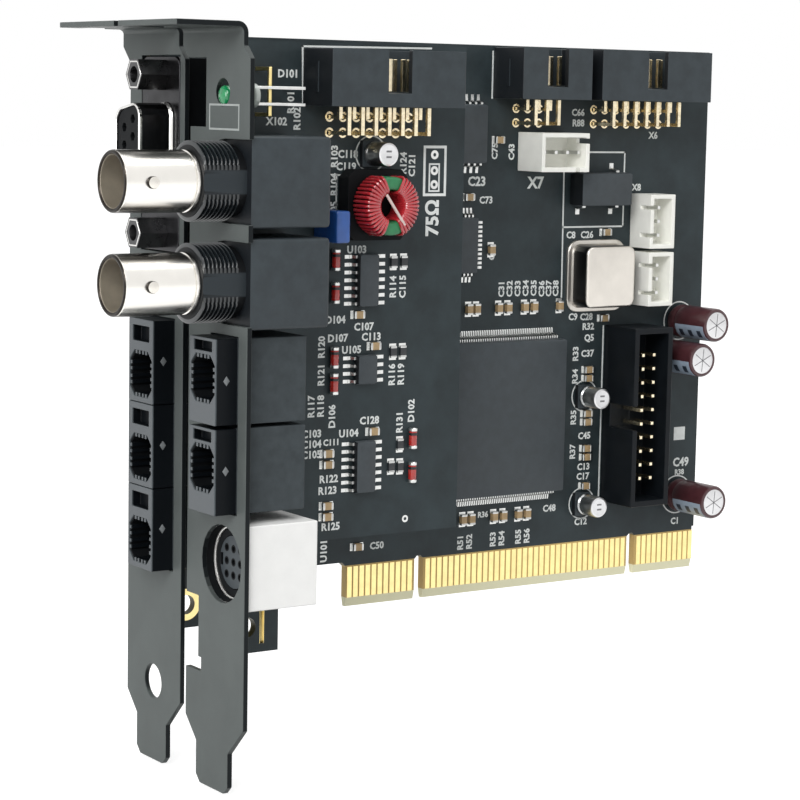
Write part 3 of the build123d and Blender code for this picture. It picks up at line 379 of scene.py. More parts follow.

# Nine-way connector: a pressed and plated shell with its flange behind the bracket, a black moulded
# insulator with sleeves deep in its holes, and two hexagonal jackscrews. The shell and the jackscrew
# faces are painted dark as painted reflection, the rolled lip, a bead at the shell's root and the
# jackscrew rims are bright nickel as painted highlights, and the sleeves' gold is darkened as painted shade.
# Painted reflection: the shell and the jackscrew faces are painted dark, as dark surroundings would show in them.
painted_dark_plate = finish("painted_dark_plate", (56, 56, 58), 0.26, 1.0, drift=0.25, patch=3.0, grain=0.08, grit=0.3)
nickel = finish("nickel", (226, 225, 222), 0.24, 1.0, drift=0.05, patch=4.0, grain=0.08, grit=0.3)
screw_plate = finish("screw_plate", (84, 84, 85), 0.28, 1.0, drift=0.2, patch=1.5, grain=0.1)
deep_black = finish("deep_black", (14, 16, 18), 0.6, grain=0.2, Specular_IOR_Level=0.12)
dress(painted_dark_plate, "d_connector_shell", broken=0.15)
dress(screw_plate, "jackscrews", broken=0.25)
dress(deep_black, "d_connector_insulator", broken=0.08)


def rounded_loop(corners, radius, height, steps):
    """A loop of points round a convex outline, its corners rounded."""
    loop = []
    for place, corner in enumerate(corners):
        here = Vector(corner)
        back = (Vector(corners[place - 1]) - here).normalized()
        ahead = (Vector(corners[(place + 1) % len(corners)]) - here).normalized()
        half = back.angle(ahead) / 2
        middle = here + (back + ahead).normalized() * (radius / sin(half))
        spoke = here + back * (radius / tan(half)) - middle
        for step in range(steps + 1):
            x, y = middle + Matrix.Rotation((pi - 2 * half) * step / steps, 2) @ spoke
            loop.append((x, y, height))
    return loop


def extent(name):
    """The two far corners, in mm, of a node's box."""
    return [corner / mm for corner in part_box(name)]


d_length = 16.9
d_width = 8.3
d_lean = radians(10)
d_corner = 2.3
d_contact_pitch = 2.77
d_row_pitch = 2.84
low, high = extent("d_connector_shell")
d_tall = -(low.y + high.y) / 2
d_up = (low.z + high.z) / 2
d_lip = -low.x
d_front = -extent("d_connector_insulator")[0].x


def d_loop(inset, height):
    """The D outline of the shell, set in from its outside."""
    wide = d_length / 2 - inset
    narrow = wide - (d_width - 2 * inset) * tan(d_lean)
    side = d_width / 2 - inset
    corners = [(-side, -narrow), (side, -wide), (side, wide), (-side, narrow)]
    return rounded_loop([(d_tall + x, d_up + y) for x, y in corners], d_corner - inset, height, 6)


def shifted(radius, height, *steps):
    """Points of a profile, as steps away from one radius and height."""
    return [(radius + across, height + rise) for across, rise in steps]


# Painted highlights: the rolled lip, the bead at the shell's root and the jackscrew rims, in bright nickel.
lip_profile = [(0.5, -0.7), (0.0, -0.5), (-0.04, -0.3), (0.0, -0.05), (0.12, 0.05), (0.34, 0.05)]
lip_profile += [(0.46, -0.05)]
lip = closed_skin([d_loop(inset, d_lip + height) for inset, height in lip_profile])
bead_profile = [(0.3, 0.05), (-0.3, 0.05), (-0.35, 0.2), (-0.2, 0.45), (0.05, 0.65), (0.3, 0.65)]
bead = closed_skin([d_loop(inset, height) for inset, height in bead_profile])
painted_highlight_edges = [lip, bead]
hexagon = [(cos(radians(60 * step)), sin(radians(60 * step))) for step in range(6)]
rim_profile = ((2.2, -0.6), (2.66, -0.6), (2.68, -0.25), (2.45, 0.03), (2.2, 0.03))
for low, high in solids("jackscrews"):
    loops = []
    for size, height in rim_profile:
        loops.append(rounded_loop([(size * x, size * y) for x, y in hexagon], 0.15, height, 2))
    spot = at(d_tall, (low.z + high.z) / 2, -low.x)
    painted_highlight_edges.append(moved(closed_skin(loops), spot))
piece("d_connector_bright_edges", painted_highlight_edges, nickel, "nickel", place=main_panel)
# Painted shade: the sleeves' gold is darkened, as if in the shade of the insulator's holes.
sleeve_gold_painted_shade = finish("sleeve_gold_painted_shade", (120, 104, 70), 0.35, 1.0)
sleeve_profile = shifted(0, d_front, (0.42, -4.4), (0.62, -4.4), (0.62, -1.6), (0.56, -1.5), (0.44, -1.5),
                         (0.42, -1.6))
d_contacts = []
for row, count in ((-0.5, 4), (0.5, 5)):
    for place in range(count):
        d_contacts.append((row * d_row_pitch, d_up + (place - (count - 1) / 2) * d_contact_pitch))
contact_sleeves = [tube(sleeve_profile, d_tall + across, up, 18) for across, up in d_contacts]
piece("d_connector_sleeves", contact_sleeves, sleeve_gold_painted_shade, "gold", place=main_panel)

# Optical sockets: black moulded housings on the board, each with a snout through the bracket and an
# eight-sided ribbed mouth over a clear lens. A small diamond is moulded on the side of each snout.
# The snouts' sides are painted near black as painted shade and their fronts lighter as painted light,
# and a deep black lining in each mouth is painted shade.
optical_axis = 7.3
opening_half = 3.7
opening_cut = 1.5
snout_reach = 3.8
snout_side = 11.4
mouth_floor = -3.1
main_offset, expansion_offset = -2.1, 0.35
snout_plastic = finish("snout_plastic", (65, 71, 74), 0.45, drift=0.12, patch=2.0, grain=0.2, grit=0.2,
                       Specular_IOR_Level=0.12)
# Painted shade: the snouts' sides behind their fronts are painted near black, as if in shade.
painted_side_shade = both_masks(snout_plastic, axis_band(snout_plastic, "X", 0.25 - snout_reach, below=False),
                          axis_band(snout_plastic, "X", 0.0))
repaint(snout_plastic, painted_side_shade, (12, 16, 20), 0.7)
# Painted light: the snouts' fronts are painted lighter than the plastic, as if lit.
painted_front_light = both_masks(snout_plastic, facing(snout_plastic, "X", -0.5, -0.9),
                         axis_band(snout_plastic, "X", 0.2 - snout_reach))
repaint(snout_plastic, painted_front_light, (94, 98, 101), 0.85)
lens_clear = finish("lens_clear", (70, 74, 78), 0.1, patch=0.6, Coat_Weight=0.6)
main_sockets = ["main_optical_socket_" + name for name in ("upper", "middle", "lower")]
expansion_sockets = ["expansion_optical_socket_" + name for name in ("upper", "lower")]
optical_rows = [(name, main_offset, main_panel) for name in main_sockets]
optical_rows += [(name, expansion_offset, expansion_panel) for name in expansion_sockets]
linings = []
ribs = []
lenses = []
diamonds = []


def turned(profile, x=0.0, y=0.0, count=40):
    """A turned form from its profile of radius and height, closed at both ends."""
    return stack([circle(radius, height, x, y, count) for radius, height in profile])


def mouth_loop(half, height):
    """The eight-sided outline of a mouth."""
    flat = half - opening_cut * half / opening_half
    return [(half, -flat, height), (half, flat, height), (flat, half, height), (-flat, half, height),
            (-half, flat, height), (-half, -flat, height), (-flat, -half, height), (flat, -half, height)]


for name, offset, panel in optical_rows:
    dress(snout_plastic, name, broken=0.18)
    low, high = extent(name)
    middle = (low.z + high.z) / 2
    mouth_place = panel @ at(optical_axis, middle + offset)
    # Painted shade: a deep black lining and back wall inside each mouth stand for the shade in the opening.
    outer = opening_half - 0.01
    sides = [(outer, mouth_floor), (outer, snout_reach - 0.25), (outer - 0.12, snout_reach - 0.35)]
    sides += [(outer - 0.12, mouth_floor)]
    lining = closed_skin([mouth_loop(*side) for side in sides])
    back_wall = stack([mouth_loop(outer - 0.1, mouth_floor + rise) for rise in (-0.05, 0.05)])
    linings += [moved(lining, mouth_place), moved(back_wall, mouth_place)]
    for quarter in range(4):
        turn = Matrix.Rotation(quarter * pi / 2, 4, "Z")
        for start, end in ((0.35, 0.85), (1.35, 1.9)):
            for side in (-1, 1):
                across = sorted((side * start, side * end))
                rib = block((opening_half - 0.55, opening_half + 0.1), across, (-3.0, 3.7))
                ribs.append(moved(rib, mouth_place @ turn))
    dome = [(1.0, mouth_floor), (1.12, -2.9), (1.12, -0.75), (1.0, -0.6), (0.75, -0.42), (0.4, -0.33), (0.1, -0.3)]
    lenses.append(moved(turned(dome, count=28), mouth_place))
    side_face = Matrix(((0, 0, 1, snout_side), (1, 0, 0, middle + 0.2), (0, 1, 0, 1.9), (0, 0, 0, 1)))
    loops = []
    for long, wide, height in ((0.75, 0.55, -0.05), (0.75, 0.55, 0.06), (0.5, 0.35, 0.1)):
        loops.append([(-long, 0, height), (0, -wide, height), (long, 0, height), (0, wide, height)])
    diamonds.append(moved(stack(loops), panel @ side_face))
piece("optical_mouth_linings", linings, deep_black, "black_plastic")
piece("optical_mouth_ribs", ribs, snout_plastic, "black_plastic")
piece("optical_lenses", lenses, lens_clear, "black_plastic")
mark_plastic = finish("mark_plastic", (118, 122, 124), 0.4, patch=0.6)
piece("optical_diamonds", diamonds, mark_plastic, "black_plastic")

# Coaxial sockets: a moulded block on the board with a threaded, flatted collar, a bright plated
# barrel with two bayonet lugs, a bore lined in darker plate as painted shade, a white insulator and a
# gold centre contact. The block's faces towards the bracket, the collar's grooves, the barrel's top,
# bottom and mouth and the lugs' sides carry painted shade and painted reflection.
collar_radius = 6.15
collar_flat = 5.3
collar_pitch = 0.7
thread_root = 5.4
barrel_radius = 4.75
barrel_bore = 4.05
barrel_floor = 9.0
coax_tall = 7.0
lug_place = 15.0
sheet = 0.86
black_plastic = finish("black_plastic", (52, 59, 63), 0.45, drift=0.14, patch=2.5, grain=0.25,
                       grit=0.2, Specular_IOR_Level=0.3)
# Painted shade: faces that look along minus X, towards the brackets, are painted darker, as if in shade.
repaint(black_plastic, facing(black_plastic, "X", -0.5, -0.9), (22, 26, 30), 0.7)
collar_plastic = finish("collar_plastic", (26, 31, 34), 0.2, drift=0.12, patch=1.5, grain=0.1,
                        Specular_IOR_Level=0.75)
# Painted shade: the collar's body under the thread is near black, as the shade in its grooves; its flats get the
# plastic's own grey.
collar_groove_shade = finish("collar_groove_shade", (14, 16, 18), 0.5, grain=0.2, Specular_IOR_Level=0.2)
repaint(collar_groove_shade, facing(collar_groove_shade, "Y", -0.97, -0.99), (48, 54, 58), 0.8)
barrel_plate = finish("barrel_plate", (238, 235, 229), 0.26, 1.0, drift=0.03, patch=5.0, grain=0.06,
                      grit=0.3)
# Painted shade: the bore is lined in a darker, duller copy of the plate, as the shade inside the barrel.
shaded_bore = finish("shaded_bore", (136, 128, 114), 0.55, 0.4, drift=0.08, patch=2.0, grain=0.1)
# Painted reflection: the barrel is darker where it faces up or down and round its rolled mouth, as dark
# surroundings would show in it.
repaint(barrel_plate, facing(barrel_plate, "Z", 0.76, 0.98, True), (70, 66, 60), 0.8)
mouth_edge = extent("coax_barrel_upper")[0].x
repaint(barrel_plate, axis_band(barrel_plate, "X", mouth_edge + 0.22), (52, 48, 44), 0.7)
lug_plate = finish("lug_plate", (226, 222, 214), 0.28, 1.0, drift=0.05, grain=0.06)
# Painted shade: the lugs' sides are painted dark and only their ends keep the bright plate.
repaint(lug_plate, facing(lug_plate, "Y", 0.85, 0.5, True), (46, 43, 40), 0.7)
white_plastic = finish("white_plastic", (240, 240, 238), 0.45, drift=0.02, patch=3.0, grain=0.1)


def rectangle(x_range, y_range, inset=0.0):
    """The corners of a rectangle, set in from two pairs of limits."""
    x0, x1 = x_range[0] + inset, x_range[1] - inset
    y0, y1 = y_range[0] + inset, y_range[1] - inset
    return [(x1, y0), (x1, y1), (x0, y1), (x0, y0)]


def moulded_block(x_range, y_range, z_range, ease, steps=3):
    """A block with its upright corners and its far edges rounded."""
    levels = [(0.0, z_range[0])]
    for step in range(steps + 1):
        lean = step / steps * pi / 2
        levels.append((ease * (1 - cos(lean)), z_range[1] - ease * (1 - sin(lean))))
    loops = []
    for inset, height in levels:
        loops.append(rounded_loop(rectangle(x_range, y_range, inset), ease, height, steps))
    return stack(loops)


def flatted(shape, limit):
    """A turned form about a coaxial socket's axis, with two flats cut across it."""
    points, faces = shape
    return [(coax_tall + max(-limit, min(limit, x - coax_tall)), y, z) for x, y, z in points], faces


def thread_crests(up, reach):
    """The crests of the collar's thread, each a rounded ridge with two flats."""
    crests = []
    for turn in range(int(reach / collar_pitch)):
        front = reach - 0.1 - turn * collar_pitch
        crest = shifted(collar_radius, front, (-0.25, -0.42), (0, -0.3), (0, -0.16), (-0.25, -0.04))
        ridge = [(thread_root, front - 0.46), *crest, (thread_root, front)]
        crests.append(flatted(tube(ridge, coax_tall, up, 72), collar_flat - 0.03))
    return crests


def collar_root(up, reach):
    """The body of the collar, below the thread."""
    radius = collar_radius - 0.55
    profile = [(radius, -sheet), (radius, reach - 0.2), (collar_radius - 0.75, reach)]
    return flatted(turned(profile, coax_tall, up, 72), collar_flat)


def barrel(up, foot, mouth):
    """The turned barrel, rolled at its mouth."""
    groove = ((-0.2, 0), (0, 0.15), (0, 0.7), (-0.2, 0.8), (-0.2, 1.1), (0, 1.2))
    profile = [(barrel_bore, foot), *shifted(barrel_radius, foot, *groove)]
    profile += shifted(barrel_radius, mouth, (0, -0.5), (-0.06, -0.2), (-0.22, -0.03), (-0.4, 0))
    profile += shifted(barrel_bore, mouth, (0.12, -0.05), (0, -0.2))
    return tube(profile, coax_tall, up, 72)


insulators = []
centre_contacts = []
bores = []
lugs = []
for name in ("upper", "lower"):
    body_name = "coax_body_" + name
    low, high = extent(body_name)
    up = (low.z + high.z) / 2
    reach = -low.x
    mouth = -extent("coax_barrel_" + name)[0].x
    moulding = moulded_block((0, high.y - low.y), (low.z, high.z), (0, high.x - sheet), 0.5)
    behind = at(0, 0, -sheet) @ Matrix.Scale(-1, 4, (0, 0, 1))
    points, faces = moved(moulding, behind)
    moulding = points, [face[::-1] for face in faces]
    parts = [("block", [moulding], black_plastic), ("thread", thread_crests(up, reach), collar_plastic)]
    parts.append(("collar", [collar_root(up, reach)], collar_groove_shade))
    for part, shapes, material in parts:
        part_name = f"coax_socket_{part}_{name}"
        piece(part_name, shapes, material, "black_plastic", body_name, place=expansion_panel)
    shell = barrel(up, reach, mouth)
    piece("coax_socket_barrel_" + name, [shell], barrel_plate, "nickel", "coax_barrel_" + name,
          place=expansion_panel)
    for side in (-1, 1):
        root = at(coax_tall, up, lug_place) @ Matrix.Rotation(side * pi / 2, 4, "Y")
        lug = turned([(0.95, 4.5), (0.95, 5.3), (0.88, 5.48), (0.7, 5.55)], count=24)
        lugs.append(moved(lug, expansion_panel @ root))
    liner = [(barrel_bore, barrel_floor - 0.2), *shifted(barrel_bore, mouth, (0, -0.22), (-0.08, -0.3))]
    liner += [(barrel_bore - 0.08, barrel_floor), (0.1, barrel_floor), (0.1, barrel_floor - 0.2)]
    bores.append(tube(liner, coax_tall, up, 64))
    plug = [(0.72, 10.2), (2.3, barrel_floor + 0.02), (2.4, barrel_floor + 0.02), (2.4, 14.8), (2.3, 15.0)]
    plug += [(0.75, 15.0), (0.72, 14.9)]
    insulators.append(tube(plug, coax_tall, up))
    pin = [(0.36, 11.5), (0.64, 10.2), (0.65, 10.3), (0.65, 14.0), (0.58, 14.15), (0.4, 14.2), (0.36, 14.1)]
    centre_contacts.append(tube(pin, coax_tall, up, 24))
piece("coax_socket_bores", bores, shaded_bore, "nickel", place=expansion_panel)
piece("coax_socket_lugs", lugs, lug_plate, "nickel")
piece("coax_socket_insulators", insulators, white_plastic, "white_plastic", "coax_insulators",
      place=expansion_panel)
piece("coax_socket_contacts", centre_contacts, gold, "gold", "coax_centre_contacts", place=expansion_panel)

# Round connector: a pale moulded block with a black lip, holding a thin drawn ring and a black keyed
# insert of nine holes that stand back behind the bracket.
insert_plastic = finish("insert_plastic", (56, 62, 66), 0.45, Specular_IOR_Level=0.3)
dress(white_plastic, "round_connector_body", broken=0.3)
dress(insert_plastic, "round_connector_insert", broken=0.06)
low, high = extent("round_connector_ring")
round_tall = -(low.y + high.y) / 2 - slot_pitch
round_up = (low.z + high.z) / 2
ring_radius = (high.z - low.z) / 2
ring_front, ring_back = -low.x, -high.x
ring_profile = [(ring_radius - 0.5, ring_back), (ring_radius, ring_back)]
ring_profile += shifted(ring_radius, ring_front, (0, -0.3), (-0.1, -0.06), (-0.25, 0), (-0.4, -0.06),
                        (-0.5, -0.3))
ring = tube(ring_profile, round_tall, round_up, 64)
piece("round_connector_shield", [ring], nickel, "nickel", "round_connector_ring", place=expansion_panel)
bezel = shifted(ring_radius, ring_front, (-0.12, 0.02), (0.04, 0.02))
bezel += shifted(ring_radius, -sheet, (0.04, 0), (0.13, 0), (0.13, 0.12), (-0.02, 0.12))
skirt_bore = 4.25
skirt = [(skirt_bore, ring_front - 2.0)]
skirt += shifted(ring_radius, ring_front, (-0.55, -2.0), (-0.55, -0.35), (-0.7, -0.2))
skirt += shifted(skirt_bore, ring_front, (0.1, -0.3), (0, -0.4))
mouldings = [tube(profile, round_tall, round_up, 64) for profile in (bezel, skirt)]
piece("round_connector_lip", mouldings, deep_black, "black_plastic", place=expansion_panel)
insert_front = -extent("round_connector_insert")[0].x
hole_pitch = 2.1
# Painted shade: a deep black lining with a thin ring at its mouth in each hole of the insert, as the shade in the
# hole.
hole_lining = shifted(0, insert_front, (0.05, -1.6), (0.46, -1.6), (0.46, 0), (0.66, 0), (0.66, 0.02),
                      (0.43, 0.02), (0.41, -1.5), (0.05, -1.5))
hole_linings = []
for column in (-1, 0, 1):
    for row in (-1, 0, 1):
        spot = (round_tall + column * hole_pitch, round_up + row * hole_pitch)
        hole_linings.append(tube(hole_lining, *spot, 24))
piece("round_connector_hole_linings", hole_linings, deep_black, "black_plastic", place=expansion_panel)

# Indicator lamp: a green moulded lens with a flange at its back, on two tinned legs bent down to the
# board. The gold-plated wire strap beside it holds the lamp off the board.
lamp_finish = finish("lamp", (20, 128, 76), 0.16, drift=0.15, patch=0.8, grain=0.02, Coat_Weight=0.4)
pale_start = 2.6
repaint(lamp_finish, axis_band(lamp_finish, "X", pale_start, below=False), (200, 208, 202))
low, high = extent("indicator_lamp")
lamp_tall = -(low.y + high.y) / 2 - slot_pitch
lamp_up = (low.z + high.z) / 2
lamp_back, lamp_tip = -high.x, -low.x
lamp_profile = shifted(0, lamp_back, (1.75, 0), (1.9, 0.15), (1.9, 0.8), (1.8, 0.9), (1.5, 0.95))
lamp_profile += shifted(0, lamp_tip, (1.5, 0), (1.46, 0.2), (1.3, 0.4), (1.0, 0.57), (0.5, 0.68),
                        (0.06, 0.71))
lens = turned(lamp_profile, lamp_tall, lamp_up)
piece("indicator_lens", [lens], lamp_finish, "lamp", "indicator_lamp", place=expansion_panel)
tin = finish("tin", (216, 217, 215), 0.3, 1.0, drift=0.08, patch=1.5, grain=0.15, grit=0.2)
dress(tin, "lamp_legs", broken=0.12)
dress(gold, "wire_strap", broken=0.2)

# Box headers: black moulded shrouds, keyed in one wall, over two rows of gold-plated square pins.
# Three lie at the boards' top edges with bent tails; one stands on the main board.
headers = ("expansion_header", "short_header", "long_header", "upright_header")
# Painted shade: the upright shroud gets a darker copy of the black plastic, standing for the shade on its walls.
upright_plastic = finish("upright_plastic", (17, 21, 25), 0.4, drift=0.14, patch=2.5, grain=0.2,
                         grit=0.2, Specular_IOR_Level=0.15)
dress(black_plastic, *[name + "_shroud" for name in headers[:3]], broken=0.18)
dress(upright_plastic, "upright_header_shroud", broken=0.2)
end_ribs = []
for name in headers[:3]:
    low, high = extent(name + "_shroud")
    middle = (low.y + high.y) / 2
    heights = (low.z + 2.2, high.z - 2.0)
    end_ribs.append(block((low.x - 0.25, low.x + 0.1), (middle - 0.5, middle + 0.5), heights))
piece("header_end_ribs", end_ribs, black_plastic, "black_plastic")
pin_gold = finish("pin_gold", (244, 228, 196), 0.24, 1.0, drift=0.15, patch=0.8, grain=0.05)
dress(pin_gold, *[name + "_pins" for name in headers], broken=0.1)
tail_half = 0.32
pad_radius, pad_bore = 0.82, 0.5
pads = []
pad_holes = []
tail_places = []
for name, face in zip(headers, (expansion_face, main_face, main_face)):
    shroud_low = extent(name + "_shroud")[0].z
    for low, high in solids(name + "_pins"):
        if low.z < shroud_low - 1:
            spot = ((low.x + high.x) / 2, low.z + tail_half)
            pads.append(moved(washer(*spot, pad_radius, pad_bore, 0, 0.05), face))
            # Painted shade: a black disc fills each pad's bore round its pin, as the shade in the hole.
            hole = [(pad_bore, 0), (pad_bore, 0.015), (pad_bore - 0.1, 0.02)]
            pad_holes.append(moved(turned(hole, *spot, 20), face))
            tail_places.append((face, *spot))
piece("header_pads", pads, pin_gold, "gold")
piece("header_pad_holes", pad_holes, deep_black, "board")

# Ivory sockets: open moulded boxes of pale nylon, each round one row of tinned square pins that are
# soldered through the main board. The three-way pair is slotted.
ivory = finish("ivory_plastic", (248, 248, 241), 0.42, drift=0.03, patch=3.0, grain=0.1)
dress(ivory, "four_way_socket", "three_way_socket_upper", "three_way_socket_lower", broken=0.14)
dress(tin, "socket_pins", broken=0.08)

# Oscillator: a drawn steel can with a rounded roof, welded to the flange at its foot. Four leads under
# it are soldered through the main board.
can_finish = finish("can", (214, 209, 201), 0.34, 1.0, drift=0.05, patch=5.0, grit=0.3)
# Painted reflection: the can's walls above its flange are painted dark, as the dark board would show in them; roof
# and flange stay bright.
above_flange = axis_band(can_finish, "Y", -0.9)
painted_wall_reflection = both_masks(can_finish, facing(can_finish, "Y", 0.5, 0.1, True), above_flange)
repaint(can_finish, painted_wall_reflection, (58, 58, 59), 0.6)


def middle_of(low, high):
    """The middle of a box, along and up its board."""
    return (low.x + high.x) / 2, (low.z + high.z) / 2


low, high = extent("oscillator_can")
oscillator_half = (high.x - low.x) / 2
oscillator_tall = high.y - low.y
oscillator_middle = middle_of(low, high)
wall = oscillator_half - 1.0
roof_curl = 0.6
levels = [(oscillator_half, 2.4, 0), (oscillator_half, 2.4, 0.45), (oscillator_half - 0.12, 2.3, 0.6)]
levels += [(wall + 0.25, 1.8, 0.62), (wall, 1.5, 0.95), (wall, 1.5, oscillator_tall - roof_curl)]
for step in range(1, 6):
    lean = step / 5 * pi / 2
    curl = roof_curl * (1 - cos(lean))
    levels.append((wall - curl, 1.5 - curl, oscillator_tall - roof_curl * (1 - sin(lean))))
loops = []
for half, radius, height in levels:
    loops.append(rounded_loop(rectangle((-half, half), (-half, half)), radius, height, 6))
can_place = main_face @ at(*oscillator_middle)
piece("oscillator_shell", [stack(loops)], can_finish, "can", "oscillator_can", place=can_place)

# Chips: black moulded bodies, drafted from a parting line, with pressed gull-wing leads on two or
# four sides, soldered to tinned pads. A dimple marks the first lead.
chip_plastic = finish("chip_body", (66, 72, 76), 0.55, patch=2.0, grain=0.3, grit=0.12,
                      Specular_IOR_Level=0.3)
# Painted shade: faces that look along minus X are painted darker, as if in shade.
repaint(chip_plastic, facing(chip_plastic, "X", -0.4, -0.8), (22, 26, 30), 0.7)
parting_share = 0.45


def drafted_body(half_x, half_y, bottom, top):
    """A moulded body, widest at its parting line."""
    middle = bottom + parting_share * (top - bottom)
    levels = [(0.2, bottom), (0.0, middle - 0.05), (0.0, middle + 0.05), (0.16, top - 0.08), (0.26, top)]
    sides = (-half_x, half_x), (-half_y, half_y)
    return stack([rounded_loop(rectangle(*sides, inset), 0.3, height, 2) for inset, height in levels])


def gull_wing(width, reach, shoulder, thickness):
    """One lead: out of the body, down, and flat on its pad, along the second axis from the origin."""
    top = [(-0.05, shoulder), (0.3 * reach, shoulder), (0.42 * reach, 0.85 * shoulder)]
    top += [(0.55 * reach, 1.6 * thickness), (0.66 * reach, thickness), (reach, thickness)]
    under = [(y - 0.4 * thickness if 0 < y < reach else y, max(0.0, z - thickness)) for y, z in top]
    side = width / 2
    loops = []
    for (y0, z0), (y1, z1) in zip(top, under):
        loops.append([(-side, y0, z0), (side, y0, z0), (side, y1, z1), (-side, y1, z1)])
    return stack(loops)


def chip(body_name, leads_name, face, count_x, count_y, pitch, width, reach, thickness, dimple, pad_reach):
    """Chips that stand for the frame's bodies and leads; a pair of sides may have no leads."""
    bodies = []
    leads = []
    pads = []
    base = -face.translation.y
    for low, high in solids(body_name):
        half_x, half_y = (high.x - low.x) / 2, (high.z - low.z) / 2
        bottom, top = -high.y - base, -low.y - base
        spot = face @ at(*middle_of(low, high))
        bodies.append(moved(drafted_body(half_x, half_y, bottom, top), spot))
        corner = (dimple + 0.9 - half_x, half_y - dimple - 0.9)
        mark = shifted(dimple, top, (-0.15, -0.05), (0, -0.05), (0, 0.012), (-0.12, 0.012))
        bodies.append(moved(tube(mark, *corner, 24), spot))
        shoulder = bottom + parting_share * (top - bottom) + thickness / 2
        up_count = round((2 * half_y - 0.2) / pitch) if count_y is None else count_y
        row_counts = 2 * ((half_y, count_x), (half_x, up_count))
        for turn, (half, count) in zip((0, 90, 180, 270), row_counts):
            for place in range(count):
                root = at((place - (count - 1) / 2) * pitch, half)
                root = spot @ Matrix.Rotation(radians(turn), 4, "Z") @ root
                leads.append(moved(gull_wing(width, reach, shoulder, thickness), root))
                pad = block((-0.65 * width, 0.65 * width), (0.5 * reach, pad_reach), (0, 0.04))
                pads.append(moved(pad, root))
    piece(body_name + "_moulding", bodies, chip_plastic, "chip_body", body_name)
    piece(body_name + "_lead_frame", leads, tin, "tin", leads_name)
    piece(body_name + "_pads", pads, tin, "tin")


chip("logic_array_chip", "logic_array_leads", main_face, 52, 52, pitch=0.5, width=0.22, reach=1.6,
     thickness=0.17, dimple=0.9, pad_reach=1.8)
chip("clock_chip", "clock_chip_leads", main_face, 11, 11, pitch=0.8, width=0.35, reach=1.2,
     thickness=0.14, dimple=0.45, pad_reach=1.6)
chip("memory_chip", "memory_chip_leads", main_face, 16, 0, pitch=1.27, width=0.45, reach=1.05,
     thickness=0.18, dimple=0.6, pad_reach=1.7)
chip("small_chips", "small_chip_leads", expansion_face, 0, None, pitch=1.27, width=0.45, reach=1.05,
     thickness=0.18, dimple=0.3, pad_reach=1.95)
chip("pulse_transformer", "pulse_transformer_leads", main_face, 2, 0, pitch=7.62, width=0.7, reach=1.05,
     thickness=0.2, dimple=0.4, pad_reach=1.6)

# Radial capacitors: rolled aluminium cans in a shrunk sleeve that curls over the roof, crimped on a
# rubber bung. A grey stripe with bars marks one lead, and the bare roof is scored so that it can vent.
sleeve = finish("sleeve", (68, 36, 40), 0.3, drift=0.12, patch=1.5, grain=0.06, Coat_Weight=0.25)
aluminium = finish("aluminium", (216, 216, 217), 0.36, 1.0, drift=0.05)
stripe_ink = finish("stripe_ink", (146, 160, 176), 0.35, drift=0.06)
bar_ink = finish("bar_ink", (40, 48, 60), 0.4, drift=0.06)
score_shade_and_bar_ink = finish("score_shade_and_bar_ink", (120, 120, 122), 0.45, 0.8, drift=0.06)
stripe_turns = (183, 243)
bar_turns = (200, 226)
lead_half = 1.25
sleeves = []
roofs = []
stripes = []
bars = []
scores = []
lead_places = []


def sleeve_patch(radius, turns, heights, thickness=0.03, steps=10):
    """A thin patch that follows a sleeve, between two angles and two heights."""
    loops = []
    for step in range(steps + 1):
        turn = radians(turns[0] + (turns[1] - turns[0]) * step / steps)
        ray = (cos(turn), sin(turn))
        inner, outer = radius - 0.02, radius + thickness
        corners = [(inner, heights[1]), (outer, heights[1]), (outer, heights[0]), (inner, heights[0])]
        loops.append([(reach * ray[0], reach * ray[1], height) for reach, height in corners])
    return stack(loops)


for low, high in solids("radial_capacitors"):
    radius = (high.z - low.z) / 2 - 0.04
    tall = -low.y
    middle = middle_of(low, high)
    spot = main_face @ at(*middle)
    profile = shifted(radius, 0, (-0.35, 0), (-0.2, 0.3), (-0.02, 0.7), (0, 1.0), (0, 1.5), (-0.22, 1.85),
                      (-0.25, 2.05), (-0.2, 2.25), (0, 2.6))
    profile += shifted(radius, tall, (0, -0.5), (-0.15, -0.15), (-0.4, 0), (-0.62, -0.02), (-0.66, -0.3))
    sleeves.append(moved(turned(profile, count=48), spot))
    roof = shifted(radius, tall, (-0.64, -0.6), (-0.64, -0.12), (-0.75, -0.08))
    roofs.append(moved(turned(roof, count=48), spot))
    # Painted shade: each vent score is a thin dark grey strip on the roof, as the shade in its groove.
    for turn in (25, 85, 145):
        score = block((-radius + 1.0, radius - 1.0), (-0.07, 0.07), (tall - 0.12, tall - 0.06))
        scores.append(moved(score, spot @ Matrix.Rotation(radians(turn), 4, "Z")))
    stripes.append(moved(sleeve_patch(radius, stripe_turns, (2.7, tall - 0.45)), spot))
    for start in (3.6, 6.1, 8.6):
        bar = sleeve_patch(radius + 0.03, bar_turns, (start, start + 1.1), 0.02, 4)
        bars.append(moved(bar, spot))
    lead_places += [(main_face, middle[0], middle[1] + side * lead_half) for side in (-1, 1)]
piece("radial_capacitor_sleeves", sleeves, sleeve, "sleeve", "radial_capacitors")
piece("radial_capacitor_roofs", roofs, aluminium, "can")
piece("radial_capacitor_scores", scores, score_shade_and_bar_ink, "can")
piece("radial_capacitor_stripes", stripes, stripe_ink, "sleeve")
piece("radial_capacitor_bars", bars, bar_ink, "sleeve")

# Surface can capacitors: a drawn can, rolled in near its foot, crimped on a black moulded base. The
# roof carries two dark bars that tell its leads apart.
dress(black_plastic, "can_capacitor_bases", broken=0.1)
